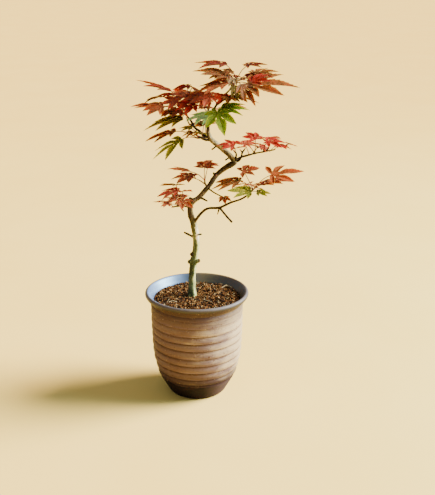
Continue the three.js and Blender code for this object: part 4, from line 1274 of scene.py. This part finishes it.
def finer_shoot(mass, tints, draws, wood):
    """A thin shoot off the stem and its pair of small leaves, or nothing where it would touch the wood"""
    shoot = draw_each(FINER_SHOOT, draws)
    start = on_curve(mass["stem"], shoot["along"])[:3]
    heading = mass["towards"] + shoot["swing"]
    end = start + unit(bearing(heading, shoot["rise"])) * shoot["length"]
    middle = (start + end) / 2 + (0, 0, shoot["bow"] * shoot["length"])
    leaves = []
    for side in (-1, 1):
        leaf = draw_each(FINER_LEAF, draws)
        turns = (heading + side * leaf["turn"], leaf["dip"], leaf["roll"])
        lobes = 5 if next(draws) < FINER_FIVE_LOBED else 7
        foot = end + bearing(turns[0], 0.35) * leaf["reach"]
        reach = leaf_axes(*turns)[0] * leaf["span"]
        if clear_of_wood([foot + reach * share for share in CLEAR_AT], wood):
            tint = tints[len(leaves) % len(tints)]
            leaves.append((0, tuple(foot), turns, leaf["span"], leaf["fan"], lobes, tint))
    if not clear_of_wood([middle, end], wood):
        return None
    return thick_line((start, middle, end), FINER_RADII, 6), leaves


def make_mass(name, mass, materials, petioles, twigs, wood):
    blades = Heap()
    draws = seeded(mass["seed"])
    tints = mass["tints"]
    grown = [grow_leaf(mass, draws) for _ in range(mass["grown"])]
    stem = smooth_line(mass["stem"], 12)
    shares = np.linspace(0, 1, len(stem))
    for leaf in mass["leaves"] + [(*leaf, tints[i % len(tints)]) for i, leaf in enumerate(grown)]:
        add_leaf(blades, petioles, leaf, on_curve(mass["stem"], leaf[0])[:3], draws)
        stem[:, 3] *= 1 + NODE_SWELL * bump(shares - leaf[0], NODE_SHARE)
    for index in range(mass["finer"]):
        shoot = finer_shoot(mass, tints[index % len(tints):] + tints, draws, wood)
        if shoot:
            line, pair = shoot
            add_twig(twigs, line, 7, 7, 6)
            for leaf in pair:
                add_leaf(blades, petioles, leaf, line[-1, :3], draws, 5, 6)
    for leaf in mass.get("extra", ()):
        add_leaf(blades, petioles, leaf, on_curve(mass["stem"], leaf[0])[:3], draws)
    stem[:, 3] += STEM_BARK
    add_twig(twigs, stem, 10, 8, 3)
    used, slots = np.unique(np.concatenate(blades.slots), return_inverse=True)
    blades.slots = [slots]
    kept = [materials[index] for index in used]
    put(blades, name.replace("foliage", "leaves"), 0.004, kept, mass["slot"], name, sharp=50)


def make_foliage():
    materials = [material for name, colour in TINTS.items() for material in leaf_materials(name, colour)]
    petioles, twigs = Heap(), Heap()
    wood = np.concatenate([smooth_line(points, 8) for points in (TRUNK, *BOUGHS.values())])
    for name, mass in MASSES.items():
        make_mass(name, mass, materials, petioles, twigs, wood)
    for places, thick, thin in SHOOTS:
        line = thick_line(places, np.linspace(thick, thin, len(places)) + SHOOT_BARK, 6)
        line[:, 3] *= 1 + 0.1 * np.cos(np.linalg.norm(line[:, :3] - line[0, :3], axis=1) * 1.9)
        add_twig(twigs, line, 9, 8, 2)
    scales = bark_material("bud_scales", [(92, 34, 28), (130, 58, 44), (160, 92, 66)], 0.1)
    put(twigs, "twigs_and_buds", 0.002, [twig_material("twig_young"), scales], "twig_bark", sharp=60)
    stops = ((0.3, (84, 26, 20)), (0.5, (112, 46, 36)), (0.72, (140, 80, 58)))
    stalk = grained("petiole_red", dict(Specular_IOR_Level=0.4), dict(size=6, detail=3.0), stops,
                    dict(size=0.5, detail=3.0), (0.45, 0.62), 0.05, 0.5)
    put(petioles, "petioles", 0.002, [stalk], "red_leaves")


# Floor, light and camera

def lamp(name, kind, azimuth, elevation, reach, **settings):
    """A lamp that shines at the tree from this way round and up"""
    light = bpy.data.lights.new(name, kind)
    for key, value in settings.items():
        setattr(light, key, value)
    a, e = math.radians(azimuth), math.radians(elevation)
    away = Vector((math.sin(a) * math.cos(e), -math.cos(a) * math.cos(e), math.sin(e)))
    holder = shown(name, light)
    holder.location = Vector((0, 0, 0.17)) + away * reach
    holder.rotation_euler = away.to_track_quat("Z", "Y").to_euler()


def make_stage():
    mesh = bpy.data.meshes.new("floor")
    mesh.from_pydata([(-15, -15, 0), (15, -15, 0), (15, 15, 0), (-15, 15, 0)], [], [(0, 1, 2, 3)])
    surface = Surface("pale_floor", Specular_IOR_Level=0.1)
    base = surface.ramp(surface.noise(160, detail=3.0), (0.3, (247, 208, 108)), (0.7, (249, 212, 115)))
    mesh.materials.append(surface.finish(base, 0.85))
    floor = shown("floor", mesh)

    world = bpy.data.worlds.new("studio")
    world.use_nodes = True
    background = world.node_tree.nodes["Background"]
    background.inputs["Color"].default_value = (0.86, 0.93, 1.0, 1)
    background.inputs["Strength"].default_value = 0.42
    bpy.context.scene.world = world
    lamp("key", "SUN", azimuth=98, elevation=33, reach=2, energy=16.5, color=(1.0, 0.88, 0.68),
         angle=math.radians(32))
    lamp("sky", "AREA", azimuth=90, elevation=24, reach=1.4, energy=48, color=(0.36, 0.68, 1.0),
         shape="DISK", size=0.9)

    camera = shown("camera", bpy.data.cameras.new("camera"))
    camera.location = (0.021, -0.832, 0.438)
    camera.rotation_euler = (math.radians(71.2), 0, 0)
    camera.data.lens, camera.data.sensor_width = 64.0, 36
    bpy.context.scene.camera = camera


make_stage()
make_pot()
make_soil()
make_wood()
make_foliage()
